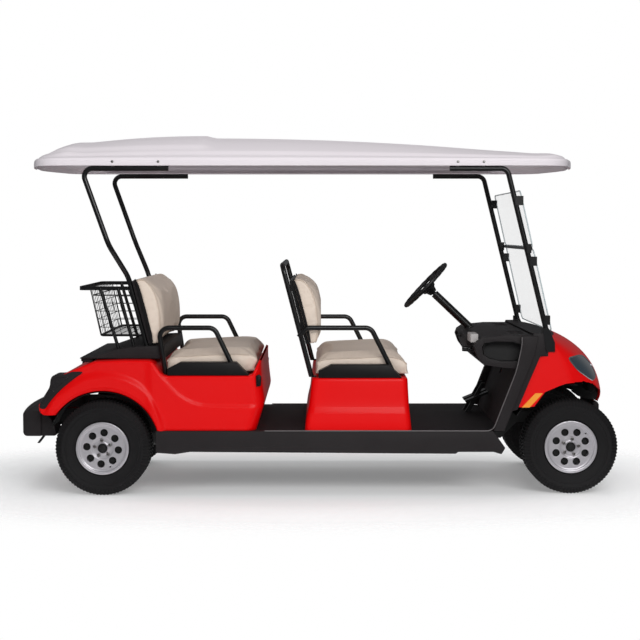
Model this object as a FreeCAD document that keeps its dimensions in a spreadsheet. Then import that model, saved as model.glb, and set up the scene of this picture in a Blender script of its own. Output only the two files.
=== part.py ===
import FreeCAD, Part
import Sketcher
import math
import os
from types import SimpleNamespace

# A four-seat electric golf cart: pressed-steel frame, two leaf-sprung axles, rack steering,
# moulded red body shells, two bench seats that tip forward, and a moulded roof on four tube posts.
# Lengths are millimetres. +X is forward, +Y is the driver's side, +Z is up.
# The origin lies on the ground, midway between the ends and the sides.

Vector = FreeCAD.Vector
document = FreeCAD.newDocument("golf_cart")
sheet = document.addObject("Spreadsheet::Sheet", "Sizes")

DIMENSIONS = {
    # Whole cart
    "cart_length": 3040,
    "wheelbase": 2348,
    "front_track": 880,
    "rear_track": 980,
    "body_half_width": 585,
    "panel_wall": 5,
    "seat_gap": 0.3,
    "cut_overrun": 40,
    # Wheels and tyres
    "tyre_diameter": 475,
    "tyre_width": 216,
    "tyre_tread_width": 168,
    "tyre_shoulder_drop": 34,
    "tyre_bead_height": 13,
    "tyre_facet_count": 72,
    "rim_diameter": 203,
    "rim_width": 160,
    "rim_wall": 3,
    "rim_flange_height": 10,
    "cover_diameter": 264,
    "cover_rise": 12,
    "cover_wall": 4,
    "cover_hole_diameter": 38,
    "cover_hole_circle": 158,
    "cover_hole_count": 8,
    "hub_radius": 34,
    "hub_inset": 30,
    "hub_bore_depth": 60,
    "cap_radius": 23,
    "cap_height": 14,
    "spindle_radius": 12.5,
    "spindle_running_gap": 0.05,
    "spindle_end_gap": 2,
    # Front suspension and steering linkage
    "kingpin_offset": 110,
    "kingpin_radius": 11,
    "knuckle_radius": 22,
    "knuckle_height": 64,
    "knuckle_gap": 1.5,
    "yoke_plate": 12,
    "yoke_reach": 24,
    "beam_size": 50,
    "stub_radius": 20,
    "stub_gap": 6,
    "drum_radius": 86,
    "drum_thickness": 12,
    "drum_offset": 40,
    "arm_length": 110,
    "arm_width": 22,
    "arm_thickness": 14,
    "arm_eye_radius": 14,
    "arm_eye_bore": 6,
    "rod_radius": 8,
    "rod_eye_radius": 10,
    "rod_drop": 13,
    "rod_eye_height": 14,
    "rack_length": 280,
    "rack_radius": 22,
    "rack_running_gap": 0.06,
    "rack_bracket_thickness": 10,
    "rack_bracket_width": 44,
    "leaf_width": 45,
    "leaf_thickness": 8,
    "front_leaf_length": 320,
    "front_leaf_rise": 30,
    "front_leaf_count": 3,
    # Rear axle
    "axle_tube_radius": 32,
    "drum_hub_gap": 18,
    "gearbox_radius": 92,
    "gearbox_width": 150,
    "motor_radius": 82,
    "motor_length": 250,
    "motor_offset": 20,
    "rear_leaf_length": 540,
    "rear_leaf_rise": 34,
    "rear_leaf_count": 4,
    "leaf_side_gap": 8,
    # Chassis frame and floor
    "rail_outer": 330,
    "rail_width": 50,
    "rail_height": 70,
    "rail_bottom": 235,
    "rail_front": 580,
    "rail_rear": -286.5,
    "rail_kick_start": 285.5,
    "rail_kick_run": 110,
    "rail_kick_rise": 105,
    "horn_outer": 180,
    "horn_start": 640,
    "horn_kick_start": 548,
    "horn_kick_run": 84,
    "horn_bottom": 320,
    "horn_height": 60,
    "horn_front": 68,
    "cross_width": 60,
    "cross_middle": 1340,
    "cross_rear": 425.5,
    "floor_top": 325,
    "floor_plate": 8,
    "floor_rear": 320.5,
    "floor_front": 594,
    "floor_rib_width": 12,
    "floor_rib_count": 9,
    "toe_run": 112,
    "toe_rise": 305,
    "sill_width": 28,
    "sill_wall": 5,
    "sill_bottom": 208,
    "sill_rear": 265.5,
    "sill_front": 572,
    "battery_length": 430,
    "battery_width": 620,
    "battery_height": 230,
    "battery_rear": 1520,
    # Body panels
    "rear_body_rear": -320.5,
    "rear_body_length": 1127,
    "rear_body_height": 353,
    "rear_body_half_width": 9,
    "arch_radius": 287,
    "arch_flare": 58,
    "arch_flare_stand": 12,
    "rear_pod_rear": 317.5,
    "rear_pod_length": 400,
    "seat_well_half_width": 145,
    "front_pod_rear": 1575,
    "front_pod_length": 536,
    "front_pod_height": 263,
    "front_pod_half_width": 2,
    "front_pod_top_half_width": 19,
    "front_pod_crease": 88,
    "front_pod_crease_band": 38,
    "front_pod_crease_step": 8,
    "front_pod_corner": 36,
    "front_pod_rear_lean": 37,
    "front_pod_front_lean": 21,
    "deck_rear": -124.5,
    "deck_length": 428,
    "deck_bottom": 679,
    "deck_height": 67,
    "deck_half_width": 99,
    "bumper_height": 128,
    "bumper_bottom": 284,
    "bumper_depth": 92,
    "bumper_half_width": 115,
    "bumper_bow": 36,
    "bumper_round": 22,
    "bumper_bracket": 16,
    "bumper_bracket_height": 50,
    "tail_lamp_half_width": 19,
    "tail_lamp_width": 150,
    "cowl_rear": 420,
    "cowl_nose": 15,
    "cowl_bottom": 430,
    "cowl_top": 812,
    "cowl_half_width": 23,
    "cowl_wall": 5,
    "cowl_wheel_inner": 225,
    "lamp_half_span": 40,
    "lamp_width": 150,
    "front_bumper_half_width": 195,
    "front_bumper_depth": 34,
    "front_bumper_bottom": 300,
    "dash_rear": 728,
    "dash_length": 330,
    "dash_bottom": 632,
    "dash_height": 170,
    "dash_half_width": 28.3,
    "dash_wall": 6,
    "bin_depth": 170,
    "bin_bottom": 668,
    "bin_height": 92,
    "side_bin_depth": 60,
    "cup_radius": 40,
    "cup_depth": 62,
    "cup_setback": 236,
    "cup_place": 255,
    "cup_spacing": 104,
    "riser_outer": -1,
    "riser_width": 24,
    "riser_top": 800,
    "pedal_width": 76,
    "pedal_rear": 700,
    "pedal_arm": 10,
    "brake_place": 330,
    "throttle_place": 205,
    # Seats
    "cushion_half_width": 111,
    "cushion_bottom": 600,
    "cushion_height": 113,
    "front_cushion_rear": 1516,
    "front_cushion_length": 460,
    "rear_cushion_rear": 313.5,
    "rear_cushion_length": 460,
    "cushion_round": 26,
    "seat_trim_inner": 105,
    "seat_trim_outer": 25,
    "seat_trim_height": 66,
    "seat_pan": 12,
    "foot_plate": 6,
    "seat_back_height": 336,
    "seat_back_thickness": 92,
    "seat_back_half_width": 111,
    "seat_back_bottom": 752,
    "seat_back_lean": 14.6,
    "front_seat_back_rear": 1550,
    "rear_seat_back_rear": 239.5,
    "seat_back_round": 34,
    "back_shell_wall": 20,
    "back_tube_radius": 13,
    "back_tube_spread": 95,
    "back_tube_top": 1150,
    "rail_tube_radius": 12.5,
    "hip_rail_place": 82,
    "hip_rail_height": 836,
    "hip_rail_bend": 46,
    "front_hip_rail_front": 1243,
    "front_hip_rail_foot": 1118,
    "driver_rail_setback": 90,
    "rear_hip_rail_rear": 274.5,
    "rear_hip_rail_front": 555.5,
    "rear_hip_rail_foot": 668.5,
    "rear_hip_rail_rear_foot": 311.5,
    "basket_rear": -140.5,
    "basket_length": 255,
    "basket_top": 1042,
    "basket_drop": 250,
    "basket_lean": 112,
    "basket_front_lean": 83,
    "basket_half_width": 180,
    "basket_wall": 5,
    "basket_stay_radius": 8,
    # Roof, posts and windshield
    "post_place": 35,
    "post_foot_place": 155,
    "post_radius": 13,
    "post_bend": 40,
    "post_top": 1632,
    "rear_post_corner": -99.5,
    "rear_post_front_end": 334.5,
    "front_post_corner": 569,
    "front_post_rear_end": 855,
    "front_post_foot": 365,
    "post_bracket": 8,
    "post_bracket_drop": 92,
    "post_bracket_length": 56,
    "roof_rear": -412.5,
    "roof_front": 182,
    "roof_half_width": -5,
    "roof_rim_bottom": 1645,
    "roof_rim_height": 40,
    "roof_crown": 136,
    "roof_wall": 5,
    "roof_end_bow": 70,
    "roof_corner": 150,
    "roof_flange": 58,
    "glass_thickness": 5,
    "glass_half_width": 39,
    "glass_gap": 6,
    "glass_foot": 344,
    "glass_foot_height": 822,
    "glass_fold": 440,
    "glass_fold_height": 1235,
    "glass_top": 506,
    "glass_top_height": 1522,
    "fold_bar_radius": 8,
    "clamp_width": 34,
    "clamp_height": 46,
    # Steering column and wheel
    "driver_place": 280,
    "wheel_hub_x": 866,
    "wheel_hub_z": 977,
    "column_angle": 43.5,
    "steering_wheel_diameter": 334,
    "steering_rim_radius": 12,
    "steering_dish": 66,
    "steering_hub_radius": 40,
    "steering_hub_height": 30,
    "steering_spoke_radius": 8,
    "steering_spoke_count": 3,
    "column_radius": 22,
    "column_gap": 3,
    "column_length": 300,
    "column_shaft_radius": 11,
    "column_shaft_gap": 0.05,
    "lower_shaft_radius": 12,
    "pinion_place": 90,
    "pinion_radius": 26,
    "pinion_height": 56,
    "joint_rise": 212,
    "joint_setback": 42,
}

for row, (alias, amount) in enumerate(DIMENSIONS.items(), start=1):
    sheet.set(f"A{row}", alias.replace("_", " "))
    sheet.set(f"B{row}", str(amount))
    sheet.setAlias(f"B{row}", alias)
document.recompute()


class Bound:
    """A size that carries the sheet expression it comes from beside its present value."""

    def __init__(self, text, value):
        self.text = text
        self.value = float(value)

    def joined(self, sign, other, value, other_first=False):
        other_text = other.text if isinstance(other, Bound) else f"{float(other):.9g}"
        pair = (other_text, self.text) if other_first else (self.text, other_text)
        return Bound(f"({pair[0]} {sign} {pair[1]})", value)

    def __float__(self):
        return self.value

    def __add__(self, other):
        return self.joined("+", other, self.value + float(other))

    def __radd__(self, other):
        return self.joined("+", other, float(other) + self.value, other_first=True)

    def __sub__(self, other):
        return self.joined("-", other, self.value - float(other))

    def __rsub__(self, other):
        return self.joined("-", other, float(other) - self.value, other_first=True)

    def __mul__(self, other):
        return self.joined("*", other, self.value * float(other))

    def __rmul__(self, other):
        return self.joined("*", other, float(other) * self.value, other_first=True)

    def __truediv__(self, other):
        return self.joined("/", other, self.value / float(other))

    def __neg__(self):
        return Bound(f"(0 - {self.text})", -self.value)


size = SimpleNamespace(**{alias: Bound(f"Sizes.{alias}", sheet.get(alias)) for alias in DIMENSIONS})

# Places that several pieces share
size.axle_height = size.tyre_diameter / 2
size.front_axle = size.cart_length / 2 - size.tyre_diameter / 2
size.rear_axle = size.front_axle - size.wheelbase
# These are measured back from the cart's front end
for alias in (
        "horn_start", "horn_kick_start", "horn_front", "rail_front", "floor_front", "sill_front",
        "cross_middle", "battery_rear", "cowl_rear", "cowl_nose", "dash_rear", "pedal_rear", "wheel_hub_x",
        "front_pod_rear", "front_cushion_rear", "front_seat_back_rear", "front_hip_rail_front",
        "front_hip_rail_foot", "front_post_corner", "front_post_rear_end", "front_post_foot", "roof_front",
        "glass_foot", "glass_fold", "glass_top"):
    setattr(size, alias, size.cart_length / 2 - getattr(size, alias))
# These are measured forward of the rear axle
for alias in (
        "rail_rear", "rail_kick_start", "cross_rear", "floor_rear", "sill_rear", "rear_body_rear",
        "rear_pod_rear", "deck_rear", "rear_cushion_rear", "rear_seat_back_rear", "rear_hip_rail_rear",
        "rear_hip_rail_front", "rear_hip_rail_foot", "rear_hip_rail_rear_foot", "basket_rear",
        "rear_post_corner", "rear_post_front_end", "roof_rear"):
    setattr(size, alias, size.rear_axle + getattr(size, alias))
# These are measured in from the side of the floor
for alias in (
        "rear_body_half_width", "front_pod_half_width", "front_pod_top_half_width", "deck_half_width",
        "bumper_half_width", "tail_lamp_half_width", "cowl_half_width", "lamp_half_span",
        "dash_half_width", "riser_outer", "cushion_half_width", "seat_trim_inner", "seat_trim_outer",
        "seat_back_half_width", "back_tube_spread", "hip_rail_place", "seat_well_half_width",
        "basket_half_width", "post_place", "post_foot_place", "roof_half_width", "glass_half_width",
        "cup_place"):
    setattr(size, alias, size.body_half_width - getattr(size, alias))
size.kingpin_place = size.front_track / 2 - size.kingpin_offset
size.spindle_tip = size.kingpin_offset - size.hub_inset + size.hub_bore_depth - size.spindle_end_gap
mm = SimpleNamespace(**{alias: float(amount) for alias, amount in vars(size).items()})
PLANES = {"top": "XY_Plane", "side": "XZ_Plane", "end": "YZ_Plane"}
nodes = []


def bind(item, prop, amount):
    """Give a property a size, as an expression where the size comes from the sheet."""
    if isinstance(amount, Bound):
        item.setExpression(prop, amount.text)
    elif prop.startswith("Placement"):
        item.setExpression(prop, f"{float(amount):.9g}")
    else:
        setattr(item, prop, amount)


def place(item, x=0, y=0, z=0, half_turn=False):
    """Set a piece's place, turned half round the upright axis for the other side of the cart."""
    if half_turn:
        item.Placement = FreeCAD.Placement(Vector(), FreeCAD.Rotation(Vector(0, 0, 1), 180))
    for axis, amount in (("x", x), ("y", y), ("z", z)):
        bind(item, f"Placement.Base.{axis}", amount)
    return item


def new_body(label, is_node=True):
    body = document.addObject("PartDesign::Body", label)
    body.Label = label
    if is_node:
        nodes.append(body)
    return body


def new_sketch(body, label, plane, height=None):
    """A sketch on one of the body's own origin planes, moved along the plane's normal."""
    sketch = body.newObject("Sketcher::SketchObject", label)
    wanted = PLANES[plane]
    support = next(item for item in body.Origin.OriginFeatures if item.Role == wanted)
    sketch.AttachmentSupport = [(support, "")]
    sketch.MapMode = "FlatFace"
    if height is not None:
        bind(sketch, "AttachmentOffset.Base.z", height)
    return sketch


def pin_point(sketch, edge, end, corner):
    for kind, amount in (("DistanceX", corner[0]), ("DistanceY", corner[1])):
        index = sketch.addConstraint(Sketcher.Constraint(kind, -1, 1, edge, end, float(amount)))
        if isinstance(amount, Bound):
            sketch.setExpression(f"Constraints[{index}]", amount.text)


def arc_between(start, finish, radius):
    """The shorter arc from start to finish, bulging to the left of its chord for a positive radius."""
    chord = finish - start
    half = chord.Length / 2
    depth = math.sqrt(max(radius * radius - half * half, 0.0))
    normal = Vector(-chord.y, chord.x, 0).normalize()
    side = 1 if radius > 0 else -1
    centre = (start + finish) / 2 - normal * side * depth
    first, last = (finish, start) if radius > 0 else (start, finish)
    low = math.atan2(first.y - centre.y, first.x - centre.x)
    high = math.atan2(last.y - centre.y, last.x - centre.x)
    if high < low:
        high += math.pi * 2
    return Part.ArcOfCircle(Part.Circle(centre, Vector(0, 0, 1), abs(radius)), low, high)


def draw(sketch, corners):
    """Close an outline. A corner is (x, y), or (x, y, radius) where an arc leads to it."""
    count = len(corners)
    points = [Vector(float(corner[0]), float(corner[1]), 0) for corner in corners]
    ends = []
    for index in range(count):
        following = (index + 1) % count
        target = corners[following]
        if len(target) == 3:
            sketch.addGeometry(arc_between(points[index], points[following], float(target[2])), False)
            ends.append((2, 1) if float(target[2]) > 0 else (1, 2))
        else:
            sketch.addGeometry(Part.LineSegment(points[index], points[following]), False)
            ends.append((1, 2))
    base = len(sketch.Geometry) - count
    for index, corner in enumerate(corners):
        before = (index - 1) % count
        sketch.addConstraint(Sketcher.Constraint(
            "Coincident", base + before, ends[before][1], base + index, ends[index][0]))
        pin_point(sketch, base + index, ends[index][0], corner)
        if len(corner) == 3:
            number = sketch.addConstraint(Sketcher.Constraint("Radius", base + before, abs(float(corner[2]))))
            if isinstance(corner[2], Bound):
                text = corner[2].text if float(corner[2]) > 0 else f"(0 - {corner[2].text})"
                sketch.setExpression(f"Constraints[{number}]", text)
    return sketch


def draw_circle(sketch, x, y, radius):
    number = sketch.addGeometry(Part.Circle(Vector(float(x), float(y), 0), Vector(0, 0, 1), float(radius)))
    pin_point(sketch, number, 3, (x, y))
    index = sketch.addConstraint(Sketcher.Constraint("Radius", number, float(radius)))
    if isinstance(radius, Bound):
        sketch.setExpression(f"Constraints[{index}]", radius.text)
    return sketch


def box_corners(x_low, x_high, y_low, y_high):
    return [(x_low, y_low), (x_high, y_low), (x_high, y_high), (x_low, y_high)]


def shared(shares, x_start, x_length, y_start, y_length):
    """Turn an outline written in shares of a length and a height into sizes."""
    corners = []
    for share in shares:
        corner = (x_start + x_length * share[0], y_start + y_length * share[1])
        corners.append(corner + ((x_length * share[2],) if len(share) == 3 else ()))
    return corners


def feature(body, kind, label, sketch=None):
    item = body.newObject(f"PartDesign::{kind}", label)
    if sketch is not None:
        item.Profile = sketch
        sketch.Visibility = False
    return item


def pad(body, label, sketch, length, both_ways=False, back=False):
    item = feature(body, "Pad", label, sketch)
    bind(item, "Length", length)
    item.SideType = "Symmetric" if both_ways else "One side"
    item.Reversed = back
    return item


def pocket(body, label, sketch, length, both_ways=False, back=False):
    item = feature(body, "Pocket", label, sketch)
    bind(item, "Length", length)
    item.SideType = "Symmetric" if both_ways else "One side"
    item.Reversed = back
    return item


def revolve(body, label, sketch, axis="V_Axis"):
    item = feature(body, "Revolution", label, sketch)
    item.ReferenceAxis = (sketch, [axis])
    item.Angle = 360
    return item


def mirror(body, label, originals, plane):
    """Repeat features on the other side of an origin plane of the body."""
    item = body.newObject("PartDesign::Mirrored", label)
    item.Originals = originals
    item.MirrorPlane = (next(face for face in body.Origin.OriginFeatures if face.Role == PLANES[plane]), [""])
    body.Tip = item
    return item


def shape_node(label, shape):
    """A node whose form is a free surface or a bent tube, made with Part's own functions."""
    item = document.addObject("Part::Feature", label)
    item.Label = label
    item.Shape = shape
    nodes.append(item)
    return item


def rounded_path(points, bends):
    """A path of straight runs joined by tangent arcs."""
    edges = []
    start = points[0]
    for index in range(1, len(points) - 1):
        corner = points[index]
        before = (points[index - 1] - corner).normalize()
        after = (points[index + 1] - corner).normalize()
        half = before.getAngle(after) / 2
        radius = bends[index - 1]
        reach = radius / math.tan(half)
        centre = corner + (before + after).normalize() * (radius / math.sin(half))
        first = corner + before * reach
        last = corner + after * reach
        middle = centre + (corner - centre).normalize() * radius
        edges.append(Part.LineSegment(start, first).toShape())
        edges.append(Part.Arc(first, middle, last).toShape())
        start = last
    edges.append(Part.LineSegment(start, points[-1]).toShape())
    return Part.Wire(edges)


def tube(points, bends, radius):
    """A round bar or tube bent along a path."""
    path = rounded_path(points, bends)
    run = points[1] - points[0]
    section = Part.Wire([Part.makeCircle(radius, points[0], run)])
    return path.makePipeShell([section], True, False)


def both_sides(shape):
    """The shape and its mirror image on the other side of the cart."""
    return Part.makeCompound([shape, shape.mirror(Vector(), Vector(0, 1, 0))])


def side_prism(corners, y_low, y_high):
    """A prism across the cart from an outline in the side view."""
    points = [Vector(x, y_low, z) for x, z in corners]
    face = Part.Face(Part.makePolygon(points + points[:1]))
    return face.extrude(Vector(0, y_high - y_low, 0))


def fused(shapes):
    return shapes[0].multiFuse(shapes[1:]).removeSplitter() if len(shapes) > 1 else shapes[0]


def cross_cylinder(x, z, radius, y_low, y_high):
    return Part.makeCylinder(radius, y_high - y_low, Vector(x, y_low, z), Vector(0, 1, 0))


def ring_of_flats(stations, count):
    """A closed solid of flat facets through rings, each given as a radius and a place along the axle."""
    turns = [math.pi * 2 * step / count for step in range(count)]
    rings = [[Vector(radius * math.cos(turn), along, radius * math.sin(turn)) for turn in turns]
             for radius, along in stations]
    faces = [Part.Face(Part.makePolygon(ring + ring[:1])) for ring in (rings[0], rings[-1])]
    for first, second in zip(rings, rings[1:]):
        for step in range(count):
            after = (step + 1) % count
            corners = [first[step], first[after], second[after], second[step]]
            faces.append(Part.Face(Part.makePolygon(corners + corners[:1])))
    solid = Part.Solid(Part.makeShell(faces))
    if solid.Volume < 0:
        solid.reverse()
    return solid


def build_tyre(label, axle, track, left):
    """A tyre whose flat facets keep its mesh light, with a round bore on the rim's seat."""
    outer = mm.tyre_diameter / 2
    bead = mm.rim_diameter / 2
    wall = mm.tyre_width / 2
    half = [(outer, mm.tyre_tread_width / 2), (outer - mm.tyre_shoulder_drop, wall),
            (bead + mm.tyre_bead_height, mm.rim_width / 2)]
    stations = [(radius, -along) for radius, along in reversed(half)] + half
    block = ring_of_flats(stations, int(mm.tyre_facet_count))
    tyre = block.cut(cross_cylinder(0, 0, bead, -wall * 2, wall * 2))
    middle = float(track / 2) if left else -float(track / 2)
    tyre.translate(Vector(float(axle), middle, mm.axle_height))
    shape_node(label, tyre)


def build_rim(label, axle, track, left):
    """Wheel well, hub and dished cover, turned in one piece, with a ring of round holes."""
    body = new_body(label)
    bore = size.spindle_radius + size.spindle_running_gap
    seat = size.rim_width / 2
    well = size.rim_diameter / 2
    flange = seat + size.rim_wall
    lip = well + size.rim_flange_height
    inside = well - size.rim_wall
    cover = size.cover_diameter / 2
    edge = flange + size.cover_rise
    face = flange + size.cover_wall
    section = new_sketch(body, f"{label}_section", "top")
    draw(section, [
        (0, size.hub_bore_depth - size.hub_inset), (bore, size.hub_bore_depth - size.hub_inset),
        (bore, -size.hub_inset), (size.hub_radius, -size.hub_inset), (size.hub_radius, flange),
        (inside, flange), (inside, -flange), (lip, -flange), (lip, -seat), (well, -seat), (well, seat),
        (lip, seat), (lip, flange), (cover, edge), (cover, edge + size.cover_wall),
        (lip, face + size.cover_wall), (inside, face), (size.cap_radius, face),
        (size.cap_radius, face + size.cap_height / 2), (size.cap_radius * 0.7, face + size.cap_height),
        (0, face + size.cap_height)])
    revolve(body, f"{label}_turning", section)
    hole = new_sketch(body, f"{label}_hole", "side", height=-(edge + size.cut_overrun))
    draw_circle(hole, size.cover_hole_circle / 2, 0, size.cover_hole_diameter / 2)
    first = pocket(body, f"{label}_cut", hole, size.cover_rise + size.cut_overrun + size.rim_wall, back=True)
    ring = body.newObject("PartDesign::PolarPattern", f"{label}_ring_of_holes")
    ring.Originals = [first]
    ring.Axis = (next(line for line in body.Origin.OriginFeatures if line.Role == "Y_Axis"), [""])
    ring.Angle = 360
    bind(ring, "Occurrences", size.cover_hole_count)
    ring.Occurrences = int(float(size.cover_hole_count))
    body.Tip = ring
    place(body, axle, track / 2 if left else -(track / 2), size.axle_height, half_turn=not left)


for side, left in (("left", True), ("right", False)):
    build_tyre(f"tyre_front_{side}", size.front_axle, size.front_track, left)
    build_rim(f"rim_front_{side}", size.front_axle, size.front_track, left)
    build_tyre(f"tyre_rear_{side}", size.rear_axle, size.rear_track, left)
    build_rim(f"rim_rear_{side}", size.rear_axle, size.rear_track, left)


def build_knuckle(label, left):
    """Steered knuckle: kingpin barrel, wheel spindle, drum plate and rearward steering arm."""
    body = new_body(label)
    rearward = -1 if left else 1
    half = size.knuckle_height / 2
    barrel = draw_circle(new_sketch(body, f"{label}_barrel_ring", "top"), 0, 0, size.knuckle_radius)
    pad(body, f"{label}_barrel", barrel, size.knuckle_height, both_ways=True)
    stub = draw_circle(new_sketch(body, f"{label}_stub_ring", "side"), 0, 0, size.stub_radius)
    stub_end = size.kingpin_offset - size.hub_inset - size.stub_gap
    pad(body, f"{label}_stub", stub, stub_end, back=True)
    spindle = draw_circle(new_sketch(body, f"{label}_spindle_ring", "side"), 0, 0, size.spindle_radius)
    pad(body, f"{label}_spindle", spindle, size.spindle_tip, back=True)
    drum = new_sketch(body, f"{label}_drum_ring", "side", height=-size.drum_offset)
    draw_circle(drum, 0, 0, size.drum_radius)
    pad(body, f"{label}_drum", drum, size.drum_thickness, back=True)
    arm = new_sketch(body, f"{label}_arm_outline", "top", height=-half)
    draw(arm, box_corners(0, size.arm_length, -size.arm_width / 2, size.arm_width / 2) if rearward > 0 else
         box_corners(-size.arm_length, 0, -size.arm_width / 2, size.arm_width / 2))
    pad(body, f"{label}_arm", arm, size.arm_thickness)
    eye = new_sketch(body, f"{label}_eye_ring", "top", height=-half)
    draw_circle(eye, size.arm_length * rearward, 0, size.arm_eye_radius)
    pad(body, f"{label}_eye", eye, size.arm_thickness)
    bore = new_sketch(body, f"{label}_bore_ring", "top", height=-(half + size.cut_overrun))
    draw_circle(bore, 0, 0, size.kingpin_radius + size.spindle_running_gap)
    pocket(body, f"{label}_bore", bore, size.knuckle_height + size.cut_overrun * 2, back=True)
    eye_bore = new_sketch(body, f"{label}_eye_bore_ring", "top", height=-(half + size.cut_overrun))
    draw_circle(eye_bore, size.arm_length * rearward, 0, size.arm_eye_bore)
    pocket(body, f"{label}_eye_bore", eye_bore, size.knuckle_height + size.cut_overrun * 2, back=True)
    place(body, size.front_axle, size.kingpin_place if left else -size.kingpin_place, size.axle_height,
          half_turn=not left)


build_knuckle("knuckle_left", True)
build_knuckle("knuckle_right", False)
size.rod_x = size.front_axle - size.arm_length
size.rod_z = size.axle_height - size.knuckle_height / 2 - size.rod_drop
size.horn_inner = size.horn_outer - size.rail_width
size.leaf_place = size.horn_inner + size.rail_width / 2


def build_front_suspension():
    """Dead beam with forked ends and kingpins, slung under two leaf springs."""
    body = new_body("front_axle_beam")
    beam = size.beam_size / 2
    fork = size.knuckle_height / 2 + size.knuckle_gap
    outer = fork + size.yoke_plate
    throat = size.kingpin_place - size.knuckle_radius - size.knuckle_gap * 2
    web = throat - size.yoke_plate
    reach = size.kingpin_place + size.yoke_reach
    outline = new_sketch(body, "beam_outline", "end", height=-beam)
    draw(outline, [
        (-web, -beam), (-web, -outer), (-reach, -outer), (-reach, -fork), (-throat, -fork), (-throat, fork),
        (-reach, fork), (-reach, outer), (-web, outer), (-web, beam), (web, beam), (web, outer), (reach, outer),
        (reach, fork), (throat, fork), (throat, -fork), (reach, -fork), (reach, -outer), (web, -outer),
        (web, -beam)])
    pad(body, "beam_bar", outline, size.beam_size)
    pins = new_sketch(body, "kingpin_rings", "top", height=-outer)
    draw_circle(pins, 0, size.kingpin_place, size.kingpin_radius)
    draw_circle(pins, 0, -size.kingpin_place, size.kingpin_radius)
    pad(body, "kingpins", pins, outer * 2)
    place(body, size.front_axle, 0, size.axle_height)


def leaf_spring(centre_x, centre_z, length, rise, count, top, hanger_width):
    """A stack of leaves seen from the side, each shorter than the one above, with hanger blocks."""
    solids = []
    for index in range(count):
        share = 1 - index / (count + 1)
        half = length / 2 * share
        lift = rise * share * share
        low = centre_z + mm.leaf_thickness * (count - 1 - index)
        high = low + mm.leaf_thickness
        lower = Part.Arc(Vector(centre_x - half, 0, low + lift), Vector(centre_x, 0, low),
                         Vector(centre_x + half, 0, low + lift)).toShape()
        upper = Part.Arc(Vector(centre_x - half, 0, high + lift), Vector(centre_x, 0, high),
                         Vector(centre_x + half, 0, high + lift)).toShape()
        ends = [Part.makeLine(lower.Vertexes[0].Point, upper.Vertexes[0].Point),
                Part.makeLine(lower.Vertexes[1].Point, upper.Vertexes[1].Point)]
        face = Part.Face(Part.Wire([lower, ends[1], upper, ends[0]]))
        solids.append(face.extrude(Vector(0, mm.leaf_width, 0)))
    tip = centre_z + mm.leaf_thickness * count + rise
    for end in (-1, 1):
        block_x = centre_x + end * (length / 2 - mm.leaf_width / 2) - mm.leaf_width / 2
        low = tip - mm.leaf_thickness * 2
        solids.append(Part.makeBox(mm.leaf_width, hanger_width, top - low, Vector(block_x, 0, low)))
    return fused(solids)


build_front_suspension()
front_leaf = leaf_spring(mm.front_axle, mm.axle_height + mm.beam_size / 2, mm.front_leaf_length,
                         mm.front_leaf_rise, int(mm.front_leaf_count), mm.horn_bottom, mm.leaf_width)
front_leaf.translate(Vector(0, float(size.leaf_place) - mm.leaf_width / 2, 0))


def build_tie_rod():
    body = new_body("tie_rod")
    half = size.rod_eye_height / 2
    bar = draw_circle(new_sketch(body, "rod_ring", "side"), 0, 0, size.rod_radius)
    pad(body, "rod_bar", bar, size.kingpin_place * 2, both_ways=True)
    for name, direction in (("left", 1), ("right", -1)):
        eye = new_sketch(body, f"rod_eye_{name}_ring", "top", height=-half)
        draw_circle(eye, 0, size.kingpin_place * direction, size.rod_eye_radius)
        pad(body, f"rod_eye_{name}", eye, size.rod_eye_height)
    for name, direction in (("left", 1), ("right", -1)):
        bore = new_sketch(body, f"rod_bore_{name}_ring", "top", height=-(half + size.cut_overrun))
        draw_circle(bore, 0, size.kingpin_place * direction, size.arm_eye_bore)
        pocket(body, f"rod_bore_{name}", bore, size.rod_eye_height + size.cut_overrun * 2, back=True)
    place(body, size.rod_x, 0, size.rod_z)


def build_steering_rack():
    """Rack housing round the tie rod, hung between the frame horns, with the pinion tower on top."""
    body = new_body("steering_rack")
    tube_ring = draw_circle(new_sketch(body, "rack_ring", "side"), 0, 0, size.rack_radius)
    pad(body, "rack_tube", tube_ring, size.rack_length, both_ways=True)
    tower = new_sketch(body, "pinion_ring", "top")
    draw_circle(tower, 0, size.pinion_place, size.pinion_radius)
    pad(body, "pinion_tower", tower, size.pinion_height)
    bracket = new_sketch(body, "rack_bracket_outline", "side", height=-size.horn_inner)
    top = size.horn_bottom + size.horn_height / 2 - size.rod_z
    draw(bracket, box_corners(-size.rack_bracket_width / 2, size.rack_bracket_width / 2, 0, top))
    hanger = pad(body, "rack_bracket", bracket, size.rack_bracket_thickness)
    mirror(body, "rack_brackets", [hanger], "side")
    bore = draw_circle(new_sketch(body, "rack_bore_ring", "side"), 0, 0, size.rod_radius + size.rack_running_gap)
    pocket(body, "rack_bore", bore, size.rack_length + size.cut_overrun, both_ways=True)
    place(body, size.rod_x, 0, size.rod_z)


build_tie_rod()
build_steering_rack()


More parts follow.
